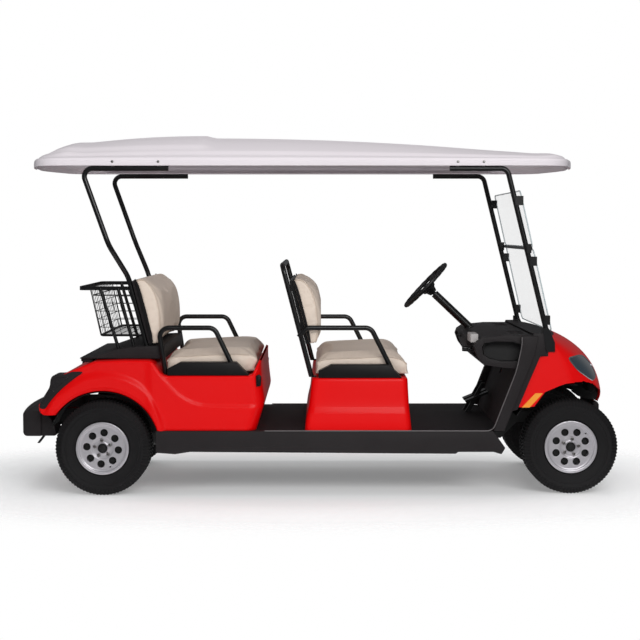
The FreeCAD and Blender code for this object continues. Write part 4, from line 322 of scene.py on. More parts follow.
def modified(mesh, name, steps):
    """A mesh with modifiers applied. Each step is a kind and its settings."""
    item = bpy.data.objects.new(name + "_work", mesh)
    bpy.context.scene.collection.objects.link(item)
    for kind, settings in steps:
        modifier = item.modifiers.new(kind.lower(), kind)
        for key, value in settings.items():
            setattr(modifier, key, value)
    graph = bpy.context.evaluated_depsgraph_get()
    done = bpy.data.meshes.new_from_object(item.evaluated_get(graph))
    bpy.data.objects.remove(item)
    done.name = name
    return done


def bevel(width, segments=3, angle=28.0):
    """A Bevel modifier's settings. It holds back where edges crowd, as they do round cut holes."""
    return ("BEVEL", {"width": width, "segments": segments, "limit_method": "ANGLE",
                      "angle_limit": math.radians(angle), "harden_normals": False, "use_clamp_overlap": True})


def room_in(mesh):
    """The volume that a closed mesh holds."""
    bm = bmesh.new()
    bm.from_mesh(mesh)
    volume = bm.calc_volume()
    bm.free()
    return volume


def with_holes(mesh, name, cutters, more):
    """A mesh with the space of another shape cut away. A cut that takes nothing away is made again."""
    tool = bpy.data.objects.new(name + "_cutter", as_mesh(cutters, name + "_cutter"))
    bpy.context.scene.collection.objects.link(tool)
    for _ in range(6):
        cut = modified(mesh.copy(), name, [("BOOLEAN", {"object": tool, "operation": "DIFFERENCE", "solver": "EXACT"})])
        if room_in(cut) < 0.9 * room_in(mesh):
            break
    bpy.data.objects.remove(tool)
    return modified(cut, name, more)


def build_rim(body, x, y, side, hole_start, valve_at):
    def on_lathe(bm, pairs, steps, closed=True):
        turned(bm, [(x + radius, y + side * along, AXLE) for radius, along in pairs], (x, y, AXLE), (0, 1, 0),
               steps, closed)

    def spot_at(radius, along, degrees):
        turn = math.radians(degrees)
        return Vector((x + radius * math.cos(turn), y + side * along, AXLE + radius * math.sin(turn)))

    outward = Vector((0, side, 0))
    name = body.replace("wheel", "rim")
    # The cover's 96 sections are placed one by one: points that a lathe lets drift upset the cutting of the holes
    section = list(cover_face) + [(r, along - 0.0035) for r, along in reversed(cover_face)]
    rim, _ = sheet_of([[spot_at(r, along, 3.75 * step) for r, along in section] for step in range(96)], True, True)
    cutters = bmesh.new()
    for index in range(8):
        spot = spot_at(0.079, 0.06, hole_start + 45 * index)
        peg(cutters, spot, spot + outward * 0.06, 0.0190, 28)
    spot = spot_at(0.1005, 0.06, valve_at)
    peg(cutters, spot, spot + outward * 0.06, 0.0045, 14)
    mesh = with_holes(as_mesh(rim, name + "_cover"), name + "_cover", cutters, [bevel(0.0010, 2, 35)])
    show(name + "_cover", mesh, body, silver_lacquer, (name,), smooth=40)
    well = bmesh.new()
    on_lathe(well, ((0.1115, 0.083), (0.1115, 0.080), (0.1015, 0.0795), (0.1010, 0.050), (0.0960, 0.040),
                    (0.0960, -0.040), (0.1010, -0.050), (0.1015, -0.0795), (0.1115, -0.080), (0.1115, -0.083),
                    (0.0985, -0.083), (0.0980, -0.050), (0.0930, -0.040), (0.0930, 0.040), (0.0980, 0.050),
                    (0.0985, 0.083)), 96)
    show(name + "_barrel", as_mesh(well, name + "_barrel"), body, silver_lacquer)
    # The hub's wide near-black disc behind the cover's holes is painted shade for the dark drum inside the wheel.
    hub = bmesh.new()
    on_lathe(hub, ((0.0915, 0.066), (0.0915, 0.070), (0.0900, 0.0715), (0.022, 0.0715), (0.014, 0.066),
                   (0.014, -0.030), (0.030, -0.030), (0.034, -0.028), (0.034, 0.066)), 72)
    on_lathe(hub, ((0.0, 0.080), (0.0232, 0.080), (0.0232, 0.0920), (0.0222, 0.0945), (0.0205, 0.0955),
                   (0.0190, 0.0945), (0.0175, 0.0945), (0.0160, 0.0965), (0.0100, 0.0990), (0.0, 0.1000)), 48, False)
    tip = spot_at(0.1005, 0.074, valve_at)
    peg(hub, tip, tip + outward * 0.021, 0.0032, 10, 0.8)
    show(name + "_hub", as_mesh(hub, name + "_hub"), body, liner_black_and_painted_shade)
    nuts = bmesh.new()
    for index in range(5):
        spot = spot_at(0.040, 0.081, hole_start + 12 + 72 * index)
        peg(nuts, spot, spot + outward * 0.0090, 0.0088, 6)
        peg(nuts, spot + outward * 0.0085, spot + outward * 0.0115, 0.0068, 14, 0.7)
    show(name + "_lug_nuts", rounded(nuts, name + "_lug_nuts", 0.0008, 2, 40), body, zinc_plate)


for body, (x, y, side, hole_start, valve_at) in wheels.items():
    build_tyre(body, x, y, side)
    build_rim(body, x, y, side, hole_start, valve_at)


# Rear body
# One large moulded shell over the rear wheels, painted red: a pod on each side with a flared arch and a pressed
# line that sweeps forward, and a lowered well between them for the rear seat. It bolts down to the frame.

def eased(value):
    """A share from 0 to 1 with a soft start and a soft stop."""
    value = min(max(value, 0.0), 1.0)
    return value * value * (3 - 2 * value)


def along_path(points, share):
    """A point at a share of a polyline's length."""
    lengths = [math.dist(a, b) for a, b in zip(points, points[1:])]
    left = share * sum(lengths)
    for (start, end), length in zip(zip(points, points[1:]), lengths):
        if left <= length:
            t = left / length if length else 0.0
            return tuple(a + (b - a) * t for a, b in zip(start, end))
        left -= length
    return tuple(points[-1])


def level_between(pairs, value):
    """Straight-line reading of (place, level) pairs."""
    if value <= pairs[0][0]:
        return pairs[0][1]
    for (low, first), (high, second) in zip(pairs, pairs[1:]):
        if value <= high:
            return first + (second - first) * (value - low) / (high - low)
    return pairs[-1][1]


def smooth_through(knots, value):
    """Catmull-Rom reading of (place, level) pairs."""
    count = len(knots)
    if value <= knots[0][0]:
        return knots[0][1]
    if value >= knots[-1][0]:
        return knots[-1][1]
    index = next(i for i in range(count - 1) if value <= knots[i + 1][0])
    (x1, y1), (x2, y2) = knots[index], knots[index + 1]
    x0, y0 = knots[index - 1] if index else (2 * x1 - x2, 2 * y1 - y2)
    x3, y3 = knots[index + 2] if index + 2 < count else (2 * x2 - x1, 2 * y2 - y1)
    t = (value - x1) / (x2 - x1)
    low = (y2 - y0) / (x2 - x0) * (x2 - x1)
    high = (y3 - y1) / (x3 - x1) * (x2 - x1)
    return ((2 * t ** 3 - 3 * t ** 2 + 1) * y1 + (t ** 3 - 2 * t ** 2 + t) * low
            + (-2 * t ** 3 + 3 * t ** 2) * y2 + (t ** 3 - t ** 2) * high)


def mirrored(bm):
    """Adds the other side of the cart to a shape."""
    bmesh.ops.mirror(bm, geom=bm.verts[:] + bm.edges[:] + bm.faces[:], axis="Y", merge_dist=1e-5)
    return bm


def walled(bm, name, wall, more=()):
    """A skin given a wall's thickness inwards."""
    bmesh.ops.remove_doubles(bm, verts=bm.verts, dist=1e-5)
    mesh = as_mesh(bm, name)
    steps = [("SOLIDIFY", {"thickness": wall, "offset": -1.0, "use_even_offset": False})]
    return modified(mesh, name, steps + list(more))


# Red paint under clear lacquer, on moulded plastic: deep even red, a broad soft shine and a trace of orange peel.
red_paint = finish("red_paint", "#DC0204", "#CE0103", 500, (0.32, 0.42), 1.1, 0.03,
                   Specular_IOR_Level=0.14, Coat_Weight=0.06, Coat_Roughness=0.12)

ARCH = (-1.0655, 0.2375)
ARCH_RADIUS = 0.287
SIDE = 0.567
# Crease of the arch's flare: angle from the front, distance from the wheel's centre
flare_crease = ((0, 0.322), (17.7, 0.325), (41, 0.355), (57.7, 0.386), (80, 0.392), (102, 0.388), (121, 0.366),
                (135, 0.361), (150, 0.345), (180, 0.335))
swoosh = ((-0.830, 0.690), (-0.813, 0.668), (-0.790, 0.630), (-0.757, 0.580), (-0.728, 0.540), (-0.696, 0.506),
          (-0.660, 0.480), (-0.620, 0.460), (-0.570, 0.446), (-0.500, 0.441), (-0.200, 0.438))
pod_top = ((-1.384, 0.421), (-1.386, 0.452), (-1.325, 0.530), (-1.2665, 0.605), (-1.236, 0.618), (-1.1595, 0.651),
           (-1.104, 0.672), (-0.960, 0.678), (-0.835, 0.677), (-0.815, 0.670), (-0.800, 0.652), (-0.775, 0.615),
           (-0.759, 0.603), (-0.740, 0.600), (-0.340, 0.600), (-0.318, 0.606), (-0.2844, 0.676))
pod_front = ((-0.299, 0.325), (-0.262, 0.450), (-0.259, 0.470), (-0.2844, 0.676))


def arch_point(degrees):
    """A point of the rear arch's edge in the side view, at an angle from straight ahead."""
    turn = math.radians(degrees)
    return (ARCH[0] + ARCH_RADIUS * math.cos(turn), ARCH[1] + ARCH_RADIUS * math.sin(turn))


def path_distance(path, x, z):
    """Signed distance from a side-view path that runs forward: positive above it."""
    best = None
    for (ax, az), (bx, bz) in zip(path, path[1:]):
        dx, dz = bx - ax, bz - az
        t = min(max(((x - ax) * dx + (z - az) * dz) / (dx * dx + dz * dz), 0.0), 1.0)
        gap = math.hypot(x - ax - dx * t, z - az - dz * t)
        side = dx * (z - az) - dz * (x - ax)
        if best is None or gap < abs(best) - 1e-9:
            best = math.copysign(gap, side)
    return best


def pod_stand(x, z):
    """How far the rear panel's side stands out from its base plane."""
    run, rise = x - ARCH[0], z - ARCH[1]
    away = math.hypot(run, rise)
    degrees = math.degrees(math.atan2(rise, run))
    crease = smooth_through(flare_crease, degrees)
    stand = 0.0
    inside = (crease - away) / (crease - ARCH_RADIUS)
    if inside > 0:
        stand += 0.015 * eased(inside / 0.42) - 0.007 * eased((inside - 0.80) / 0.2)
    gap = path_distance(swoosh, x, z)
    stand += 0.009 * (1 - eased((gap + 0.004) / 0.026)) * eased((x + 0.86) / 0.05)
    front = level_between([(z_at, x_at) for x_at, z_at in pod_front], z) - x
    bend = 0.062
    if front < bend:
        stand -= bend - math.sqrt(max(bend * bend - (bend - front) ** 2, 0.0))
    return stand


def pod_top_index(point):
    """Where a point lies along the top outline, in steps of its corners."""
    for index, (a, b) in enumerate(zip(pod_top, pod_top[1:])):
        length = math.dist(a, b)
        t = ((point[0] - a[0]) * (b[0] - a[0]) + (point[1] - a[1]) * (b[1] - a[1])) / (length * length)
        gap = abs((point[0] - a[0]) * (b[1] - a[1]) - (point[1] - a[1]) * (b[0] - a[0])) / length
        if -1e-6 <= t <= 1 + 1e-6 and gap < 1e-4:
            return index + t
    raise ValueError(f"{point} is not on the outline")


def build_rear_body():
    """The right side is laid between its top and bottom edges, rolled over at the top, and mirrored."""
    bottom_knots = [(-1.361, 0.403), (-1.300, 0.403)] + [arch_point(a) for a in (135, 115, 95, 60, 35, 17.75)]
    bottom_knots += [(-0.500, 0.325), (-0.335, 0.325), (-0.299, 0.325)]
    knot_angles = [None, 144.7, 135, 115, 95, 60, 35, 17.75, None, None, None]
    top_knots = [(-1.384, 0.421), (-1.386, 0.452), (-1.325, 0.530), (-1.236, 0.618), (-1.104, 0.672),
                 (-0.960, 0.678), (-0.835, 0.677), (-0.759, 0.603), (-0.500, 0.600), (-0.340, 0.600),
                 (-0.2844, 0.676)]
    counts = (3, 6, 10, 12, 14, 12, 16, 26, 16, 12)
    bottom, top = [], []
    for index, count in enumerate(counts):
        low, high = pod_top_index(top_knots[index]), pod_top_index(top_knots[index + 1])
        run = [top_knots[index]] + [point for point in pod_top if low < pod_top_index(point) < high]
        run.append(top_knots[index + 1])
        for step in range(count):
            share = step / count
            top.append(along_path(run, share))
            if knot_angles[index] and knot_angles[index + 1]:
                angle = knot_angles[index] + (knot_angles[index + 1] - knot_angles[index]) * share
                bottom.append(arch_point(angle))
            else:
                bottom.append(along_path([bottom_knots[index], bottom_knots[index + 1]], share))
    top.append(top_knots[-1])
    bottom.append(bottom_knots[-1])
    rows_count = 44
    columns = len(top)
    inward = []
    for index in range(columns):
        before, after = top[max(index - 1, 0)], top[min(index + 1, columns - 1)]
        run = Vector((after[0] - before[0], 0, after[1] - before[1])).normalized()
        inward.append(Vector((run.z, 0, -run.x)))
    edge = 0.012

    def patch(u, v, column):
        tail = along_path([bottom[0], top[0]], v)
        nose = along_path(pod_front, v)
        b, t = bottom[column], top[column]
        corner = [(1 - u) * (1 - v) * bottom[0][k] + u * (1 - v) * bottom[-1][k]
                  + (1 - u) * v * top[0][k] + u * v * top[-1][k] for k in (0, 1)]
        return [(1 - v) * b[k] + v * t[k] + (1 - u) * tail[k] + u * nose[k] - corner[k] for k in (0, 1)]

    rows = []
    for lip in (0.030, 0.008, 0.003, 0.0):
        row = []
        for column in range(columns):
            x, z = patch(column / (columns - 1), 0.0, column)
            row.append((x, -(SIDE + pod_stand(x, z) - 0.004 - lip), z))
        rows.append(row)
    for step in range(1, rows_count + 1):
        v = step / rows_count
        row = []
        for column in range(columns):
            u = column / (columns - 1)
            x, z = patch(u, v, column)
            pull = inward[column] * edge * v ** 6
            row.append((x + pull.x, -(SIDE + pod_stand(x, z)), z + pull.z))
        rows.append(row)
    for step in range(1, 7):
        turn = math.radians(15 * step)
        row = []
        for column in range(columns):
            x, z = top[column]
            pull = inward[column] * edge * (1 - math.sin(turn))
            row.append((x + pull.x, -(SIDE + pod_stand(x, z) - edge * (1 - math.cos(turn))), z + pull.z))
        rows.append(row)
    last = rows[-1]
    for share in (0.25, 0.5, 0.75, 1.0):
        rows.append([(x, y * (1 - share), z) for x, y, z in last])
    bm, _ = sheet_of(rows)
    front = [row[-1] for row in rows[3:]]
    wall = []
    for share in (0.0, 0.2, 0.6, 1.0):
        wall.append([(x, y * (1 - share), z) for x, y, z in front[:rows_count]])
    sheet_of(wall, into=bm)
    tail_wall = [rows[3][0], rows[3 + rows_count][0]]
    sheet_of([[(x, y * (1 - share), z) for x, y, z in tail_wall] for share in (0.0, 0.5, 1.0)], into=bm)
    mesh = walled(mirrored(bm), "rear_body_skin", 0.0025)
    show("rear_body_skin", mesh, "cart", red_paint, ("rear_body",), smooth=50)


build_rear_body()


# Rear deck, arch liners and latches
# A black moulded deck covers the body behind the rear seat, with a rolled lip over its hind edge. Thin liners of
# blown plastic close the arches over the tyres, and a latch on each side holds the body to the seat base.

def plate(bm, outline, low, high):
    """A side-view outline of (x, z) points, extruded across the cart from y low to high."""
    face = bm.faces.new([bm.verts.new((x, low, z)) for x, z in outline])
    raised = bmesh.ops.extrude_face_region(bm, geom=[face])["geom"]
    bmesh.ops.translate(bm, vec=(0, high - low, 0), verts=[part for part in raised
                                                           if isinstance(part, bmesh.types.BMVert)])


def both_plates(bm, outline, low, high):
    """The same plate on both sides of the cart."""
    plate(bm, outline, low, high)
    plate(bm, outline, -high, -low)


def line_arches(name, centre, radius, first, last, low, high):
    """The liner over a wheel on each side: its cut end, spun about the axle's line."""
    liner = bmesh.new()
    turn = math.radians(first)
    for inner, outer in ((low, high), (-high, -low)):
        end = liner.faces.new([liner.verts.new((centre + r * math.cos(turn), y, AXLE + r * math.sin(turn)))
                               for y, r in ((inner, radius), (outer, radius), (outer, radius + 0.003),
                                            (inner, radius + 0.003))])
        bmesh.ops.spin(liner, geom=[end, *end.edges, *end.verts], cent=(centre, 0, AXLE), axis=(0, -1, 0),
                       dvec=(0, 0, 0), angle=math.radians(last - first), steps=28)
    show(name, as_mesh(liner, name), "cart", liner_black_and_painted_shade)


# Hard trim plastic with a fine 1.4 mm grain: blacker and a little glossier than the large mouldings.
trim_plastic = finish("trim_plastic", "#0E0D0E", "#151415", 167, (0.36, 0.48), 1.43, 0.3, True,
                      Specular_IOR_Level=0.2)
softened("rear_deck", 0.0025, black_polypropylene)
lip = bmesh.new()
plate(lip, [(-1.188, 0.684), (-1.186, 0.664), (-1.160, 0.659), (-1.128, 0.664), (-1.128, 0.684)], -0.470, 0.470)
show("deck_lip", rounded(lip, "deck_lip", 0.004, 2), "cart", black_polypropylene)
line_arches("rear_arch_liners", -1.0655, 0.2780, 14, 158, 0.345, 0.556)
latch = bmesh.new()
both_plates(latch, [(-0.297, 0.545), (-0.274, 0.549), (-0.272, 0.595), (-0.283, 0.606), (-0.299, 0.600)],
            0.540, 0.566)
both_plates(latch, [(-0.291, 0.560), (-0.281, 0.561), (-0.281, 0.585), (-0.290, 0.588)], 0.560, 0.5705)
show("lid_latches", rounded(latch, "lid_latches", 0.002, 2), "cart", trim_plastic)


# Tail lamps
# A tall smoked lamp wraps each rear corner of the body: a black moulded housing with two raised lenses, the upper
# one wide and the lower one narrow. The housing is screwed on from behind.

lamp_side = (
    (-1.377, 0.438), (-1.380, 0.452), (-1.362, 0.490), (-1.334, 0.535), (-1.327, 0.556), (-1.324, 0.580),
    (-1.316, 0.597), (-1.300, 0.6045), (-1.262, 0.6060), (-1.222, 0.619), (-1.190, 0.6215), (-1.163, 0.617),
    (-1.200, 0.590), (-1.247, 0.553), (-1.291, 0.512), (-1.330, 0.466), (-1.352, 0.436))
upper_lens = ((-1.314, 0.545), (-1.3155, 0.572), (-1.305, 0.590), (-1.262, 0.5925), (-1.236, 0.590), (-1.262, 0.566),
              (-1.296, 0.536))
lower_lens = ((-1.368, 0.456), (-1.352, 0.490), (-1.328, 0.526), (-1.306, 0.520), (-1.332, 0.486), (-1.350, 0.460))
# Smoked acrylic, polished in the mould: almost black until light strikes it, then a hard bright edge.
smoked_acrylic = finish("smoked_acrylic", "#141113", "#1F1B1D", 200, (0.1, 0.2), 6.2, 0.3, Coat_Weight=0.8,
                        IOR=1.49)


def loop_through(points, steps):
    """A closed smooth curve through side-view points."""
    count = len(points)
    curve = []
    for index in range(count):
        p0, p1, p2, p3 = (points[(index + shift) % count] for shift in (-1, 0, 1, 2))
        for step in range(steps):
            t = step / steps
            curve.append(tuple(0.5 * (2 * b + (c - a) * t + (2 * a - 5 * b + 4 * c - d) * t * t
                                      + (3 * b - a - 3 * c + d) * t ** 3) for a, b, c, d in zip(p0, p1, p2, p3)))
    return curve


def build_tail_lamps():
    """The housing's side outline and two lenses, each rounded at its edges."""
    housing = bmesh.new()
    both_plates(housing, loop_through(lamp_side, 3), 0.430, 0.5735)
    show("tail_lamp_housings", rounded(housing, "tail_lamp_housings", 0.0035, 3, 35), "cart",
         black_polypropylene, ("tail_lamps",))
    lenses = bmesh.new()
    both_plates(lenses, loop_through(upper_lens, 3), 0.560, 0.5757)
    both_plates(lenses, loop_through(lower_lens, 3), 0.560, 0.5755)
    show("tail_lamp_lenses", rounded(lenses, "tail_lamp_lenses", 0.0018, 2, 35), "cart", smoked_acrylic)


build_tail_lamps()


# Rear bumper
# A short moulded beam below the tail, with an upturned end under each pod. Two coated steel straps tie it to the
# frame's rear cross tube.

softened("rear_bumper", 0.003, black_polypropylene)
ends = bmesh.new()
both_plates(ends, [(-1.410, 0.398), (-1.372, 0.398), (-1.345, 0.376), (-1.324, 0.332), (-1.3155, 0.290),
                   (-1.325, 0.284), (-1.410, 0.284)], 0.300, 0.462)
show("rear_bumper_ends", rounded(ends, "rear_bumper_ends", 0.005, 2), "cart", black_polypropylene)
straps = bmesh.new()
both_plates(straps, [(-1.376, 0.300), (-1.360, 0.300), (-1.402, 0.246), (-1.416, 0.247)], 0.448, 0.456)
show("bumper_straps", rounded(straps, "bumper_straps", 0.002, 2), "cart", powder_coat)


# Front seat base
# A red moulded box over the batteries, open below, that stands on the floor and leans in towards its top. A step
# runs round it a third of the way up, and its rolled top edge takes the bench.

def rounded_plan(x_low, x_high, half, radius, steps=8):
    """Points round a level rectangle with round corners."""
    points = []
    for x, y, start in ((x_high - radius, half - radius, 0), (x_low + radius, half - radius, 90),
                        (x_low + radius, -half + radius, 180), (x_high - radius, -half + radius, 270)):
        for step in range(steps + 1):
            turn = math.radians(start + 90 * step / steps)
            points.append((x + radius * math.cos(turn), y + radius * math.sin(turn)))
    return points


def build_front_seat_base():
    """Rounded plans at rising levels, joined and given a wall."""
    floor, height, rear, length = 0.3255, 0.2625, -0.055, 0.536
    # Share of the height, rear and front lean in shares of the length, half width
    levels = ((0.0, 0.0, 0.0, 0.583), (0.20, 0.012, 0.011, 0.582), (0.335, 0.026, 0.018, 0.5805),
              (0.345, 0.028, 0.019, 0.579), (0.445, 0.0385, 0.0238, 0.5715), (0.455, 0.040, 0.024, 0.5705),
              (0.70, 0.053, 0.031, 0.569), (0.93, 0.066, 0.037, 0.566), (0.98, 0.070, 0.039, 0.5635),
              (1.0, 0.078, 0.046, 0.556), (1.0, 0.17, 0.14, 0.48))
    rings = []
    for share, back, front, half in levels:
        z = floor + height * share
        plan = rounded_plan(rear + length * back, rear + length * (1 - front), half, 0.034)
        rings.append([(x, y, z) for x, y in plan])
    bm, _ = sheet_of(rings, closed_columns=True)
    mesh = walled(bm, "front_seat_base_shell", 0.003, [bevel(0.0015, 2, 20)])
    show("front_seat_base_shell", mesh, "cart", red_paint, ("front_seat_base",), smooth=40)


build_front_seat_base()


# Front cowl and its black cap
# The cowl is one red moulded shell, round at the nose and cut away over the front wheels. Behind the windshield's
# foot a black cap closes it down to the dash, and flanges tuck its sides under the risers.

COWL_REAR, COWL_LENGTH, COWL_LOW, COWL_RISE, COWL_HALF = 1.100, 0.405, 0.430, 0.382, 0.560
cowl_nose = ((0.0, 0.962), (0.105, 1.0), (0.25, 0.985), (0.40, 0.945), (0.55, 0.872), (0.70, 0.755), (0.84, 0.585),
             (0.94, 0.400), (1.0, 0.22))
cowl_shoulder = ((0.0, 0.738), (0.105, 0.772), (0.25, 0.755), (0.40, 0.705), (0.55, 0.622), (0.70, 0.500),
                 (0.84, 0.345), (0.94, 0.210), (1.0, 0.13))
fender_line = ((0.975, 0.430), (0.980, 0.437), (1.108, 0.4425), (1.1365, 0.512), (1.2175, 0.548), (1.266, 0.5615),
               (1.345, 0.568), (1.400, 0.552), (1.450, 0.510), (1.64, 0.480))


def cowl_plan(share):
    """Points (x, y) of the right half of the cowl's plan at a height, from its rear edge to the nose."""
    nose = COWL_REAR + COWL_LENGTH * smooth_through(cowl_nose, share)
    shoulder = COWL_REAR + COWL_LENGTH * smooth_through(cowl_shoulder, share)
    rear = COWL_REAR - 0.123 * (1 - share)
    bend = shoulder - (shoulder - rear) * 0.3
    half = COWL_HALF
    return [(rear, -half), (rear + (bend - rear) * 0.5, -half), (bend, -half),
            (shoulder + (nose - shoulder) * 0.1, -half * 0.86), (nose - (nose - shoulder) * 0.3, -half * 0.5),
            (nose, 0.0), (nose - (nose - shoulder) * 0.3, half * 0.5)]


def cowl_point(u, share):
    """A point on the cowl: u runs from 0 at the rear edge to 5 at the nose."""
    plan = cowl_plan(share)
    x = smooth_through([(index, point[0]) for index, point in enumerate(plan)], u)
    y = smooth_through([(index, point[1]) for index, point in enumerate(plan)], u)
    return Vector((x, max(y, -COWL_HALF), COWL_LOW + COWL_RISE * share))


def cowl_side(x, z):
    """The cowl's surface at a place in the side view, on the right side."""
    share = (z - COWL_LOW) / COWL_RISE
    low, high = 0.0, 5.0
    for _ in range(24):
        middle = (low + high) / 2
        if cowl_point(middle, share).x < x:
            low = middle
        else:
            high = middle
    return cowl_point(low, share)


def cowl_bottom_share(u):
    """Where the fender line cuts a rising line of the cowl."""
    low = 0.0
    for step in range(60):
        share = step / 100
        point = cowl_point(u, share)
        edge = level_between(fender_line, point.x)
        inner = eased((abs(point.y) - 0.215) / 0.03)
        limit = COWL_LOW + (edge - COWL_LOW) * inner
        low = share
        if point.z >= limit:
            break
    return low


def build_cowl():
    """The shell from its cut fender edge up to the windshield's foot."""
    u_values = [0.0, 0.25, 0.5, 0.75, 1.0, 1.25, 1.5, 1.75] + [2 + 3 * step / 44 for step in range(45)]
    bottoms = [cowl_bottom_share(u) for u in u_values]
    rows = []
    for lip in (0.022, 0.006, 0.0):
        row = []
        for u, share in zip(u_values, bottoms):
            point = cowl_point(u, share)
            inside = Vector((-0.4 if u > 3 else 0.0, 1.0, 0.0)).normalized() * lip
            row.append(point + inside + Vector((0, 0, 0.004 if lip else 0.0)))
        rows.append(row)
    for step in range(1, 49):
        rows.append([cowl_point(u, share + (0.985 - share) * step / 48) for u, share in zip(u_values, bottoms)])
    for drop, pull in ((0.994, 0.004), (0.998, 0.012)):
        rows.append([cowl_point(u, drop) + Vector((-pull, pull if u < 4 else 0, 0)) for u in u_values])
    bm, _ = sheet_of(rows)
    mesh = walled(mirrored(bm), "front_cowl_shell", 0.0028)
    show("front_cowl_shell", mesh, "cart", red_paint, ("front_cowl",), smooth=50)


build_cowl()


def cap_limit(y, share):
    """How far forward the black cap reaches over the cowl, bowed round its nose."""
    return 1.160 + 0.045 * (1 - (y / COWL_HALF) ** 2) + 0.25 * eased((share - 0.94) / 0.04)


def build_cowl_cap():
    """The black moulding behind the windshield's foot, from the dash over the top of the cowl to its sides."""
    rows = []
    for step in range(27):
        share = 0.70 + 0.285 * step / 26
        low, high = 0.0, 5.0
        for _ in range(24):
            middle = (low + high) / 2
            point = cowl_point(middle, share)
            if point.x < cap_limit(point.y, share):
                low = middle
            else:
                high = middle
        rows.append([cowl_point(low * column / 40, share) for column in range(41)])
    last = rows[-1]
    for share, rise in ((0.25, 0.0035), (0.6, 0.0045), (1.0, 0.0010)):
        rows.append([Vector((point.x + (1.084 - point.x) * share, point.y * (1 - 0.045 * share), 0.8065 + rise))
                     for point in last])
    bm, _ = sheet_of(rows)
    bm.normal_update()
    middle = Vector((1.05, 0, 0.55))
    outwards = sum(1 if vert.normal.dot(vert.co - middle) > 0 else -1 for vert in bm.verts)
    for vert in bm.verts:
        vert.co += vert.normal * (0.0026 if outwards > 0 else -0.0026)
    mesh = walled(mirrored(bm), "cowl_cap", 0.0018)
    show("cowl_cap", mesh, "cart", black_polypropylene, smooth=50)
    flange = bmesh.new()
    both_plates(flange, [(0.976, 0.424), (1.008, 0.430), (1.0137, 0.443), (1.070, 0.581), (1.1197, 0.6975),
                        (1.150, 0.7020), (1.142, 0.760), (1.134, 0.8135), (1.086, 0.8135), (1.030, 0.60)], 0.552, 0.573)
    show("riser_flanges", rounded(flange, "riser_flanges", 0.003, 2, 35), "cart", black_polypropylene)


build_cowl_cap()


# Headlamps and side markers
# A dark swept lens sits in each side of the cowl, bulged a few millimetres and framed by a bright moulded rim.
# A small amber marker is screwed to each fender behind it.

lamp_outline = ((1.268, 0.686), (1.296, 0.6925), (1.3228, 0.694), (1.350, 0.690), (1.372, 0.680), (1.398, 0.657),
                (1.416, 0.632), (1.424, 0.610), (1.424, 0.590), (1.412, 0.578), (1.3916, 0.573), (1.355, 0.596),
                (1.3147, 0.625), (1.288, 0.654))
# Clear polycarbonate over an unlit reflector: deep blue-grey glass with a sharp reflection.
lamp_polycarbonate = finish("lamp_polycarbonate", "#222D35", "#33414B", 200, (0.05, 0.12), 11, 0.2,
                            Coat_Weight=1.0, IOR=1.58)
# Chromed plastic: a thin mirror-bright line round the lens.
chromed_plastic = finish("chromed_plastic", "#D0D0D4", "#BABAC0", 200, (0.12, 0.22), 3.3, 0.05, Metallic=1.0)
# Amber acrylic with prisms of 6 mm moulded behind it: warm orange that sparkles under its skin.
amber_acrylic = finish("amber_acrylic", "#F09A30", "#E48A22", 200, (0.15, 0.25), 6.2, 0.4, Coat_Weight=0.5,
                       IOR=1.49)
dress(amber_acrylic, "fender_markers")


def patch_on(surface, outline, lift, crown, rings=10):
    """A lens over an outline on a surface: rings of points out to the edge, then a turned-in skirt."""
    middle = [sum(point[k] for point in outline) / len(outline) for k in (0, 1)]
    rows = []
    for step in range(1, rings + 1):
        r = step / rings
        row = []
        for x, z in outline:
            spot = surface(middle[0] + (x - middle[0]) * r, middle[1] + (z - middle[1]) * r)
            row.append(spot + Vector((0, -(lift + crown * (1 - r * r)), 0)))
        rows.append(row)
    rows.append([surface(x, z) + Vector((0, 0.006, 0)) for x, z in outline])
    return rows


def build_headlamps():
    """A lens laid on the cowl's side, and a rim round it."""
    curve = loop_through(lamp_outline, 5)
    rows = patch_on(cowl_side, curve, 0.003, 0.006)
    bm, grid = sheet_of(rows, closed_columns=True)
    bm.faces.new(grid[0])
    bm.faces.new(grid[-1])
    mesh = as_mesh(mirrored(bm), "headlamp_lenses")
    show("headlamp_lenses", mesh, "cart", lamp_polycarbonate, ("headlamps",), smooth=60)
    rim = bmesh.new()
    tube_into(rim, [cowl_side(x, z) + Vector((0, -0.0025, 0)) for x, z in curve], 0.0035, 8, closed=True)
    show("headlamp_rims", as_mesh(mirrored(rim), "headlamp_rims"), "cart", chromed_plastic)


build_headlamps()


# Front bumper, aprons and front arch liners
# A rounded black beam crosses the nose below the cowl. Inner aprons fill the room between the beam, the cowl and the
# wheels, and thin liners arch over the front tyres, clear of them when they steer.

softened("front_bumper", 0.008, black_polypropylene)
line_arches("front_arch_liners", 1.2825, 0.3125, 84, 150, 0.190, 0.530)
# The aprons' near-black is painted shade, filling the gaps between the beam, the cowl and the wheels.
aprons = bmesh.new()
both_plates(aprons, [(1.338, 0.585), (1.338, 0.484), (1.372, 0.460), (1.420, 0.444), (1.462, 0.440), (1.478, 0.462),
                     (1.468, 0.530), (1.440, 0.590)], 0.196, 0.210)
both_plates(aprons, [(1.402, 0.560), (1.402, 0.500), (1.420, 0.490), (1.436, 0.500), (1.430, 0.560)], 0.208, 0.330)
both_plates(aprons, [(1.060, 0.390), (1.060, 0.600), (1.298, 0.600), (1.302, 0.545), (1.272, 0.512), (1.225, 0.482),
                     (1.180, 0.440), (1.155, 0.390)], 0.198, 0.206)
show("inner_aprons", rounded(aprons, "inner_aprons", 0.003, 2), "cart", liner_black_and_painted_shade)


# Dashboard and pedals
# One black moulding across the cart, with an open bin at each end and four cup places in its top. A grey switch
# panel and turned knobs are pressed into its face. The pedals swing from coated steel arms through the floor.

bin_mouth = ((0.12, 0.42), (0.10, 0.66), (0.14, 0.80), (0.30, 0.86), (0.62, 0.84), (0.72, 0.76), (0.76, 0.56),
             (0.73, 0.30), (0.66, 0.20), (0.42, 0.19), (0.22, 0.28))
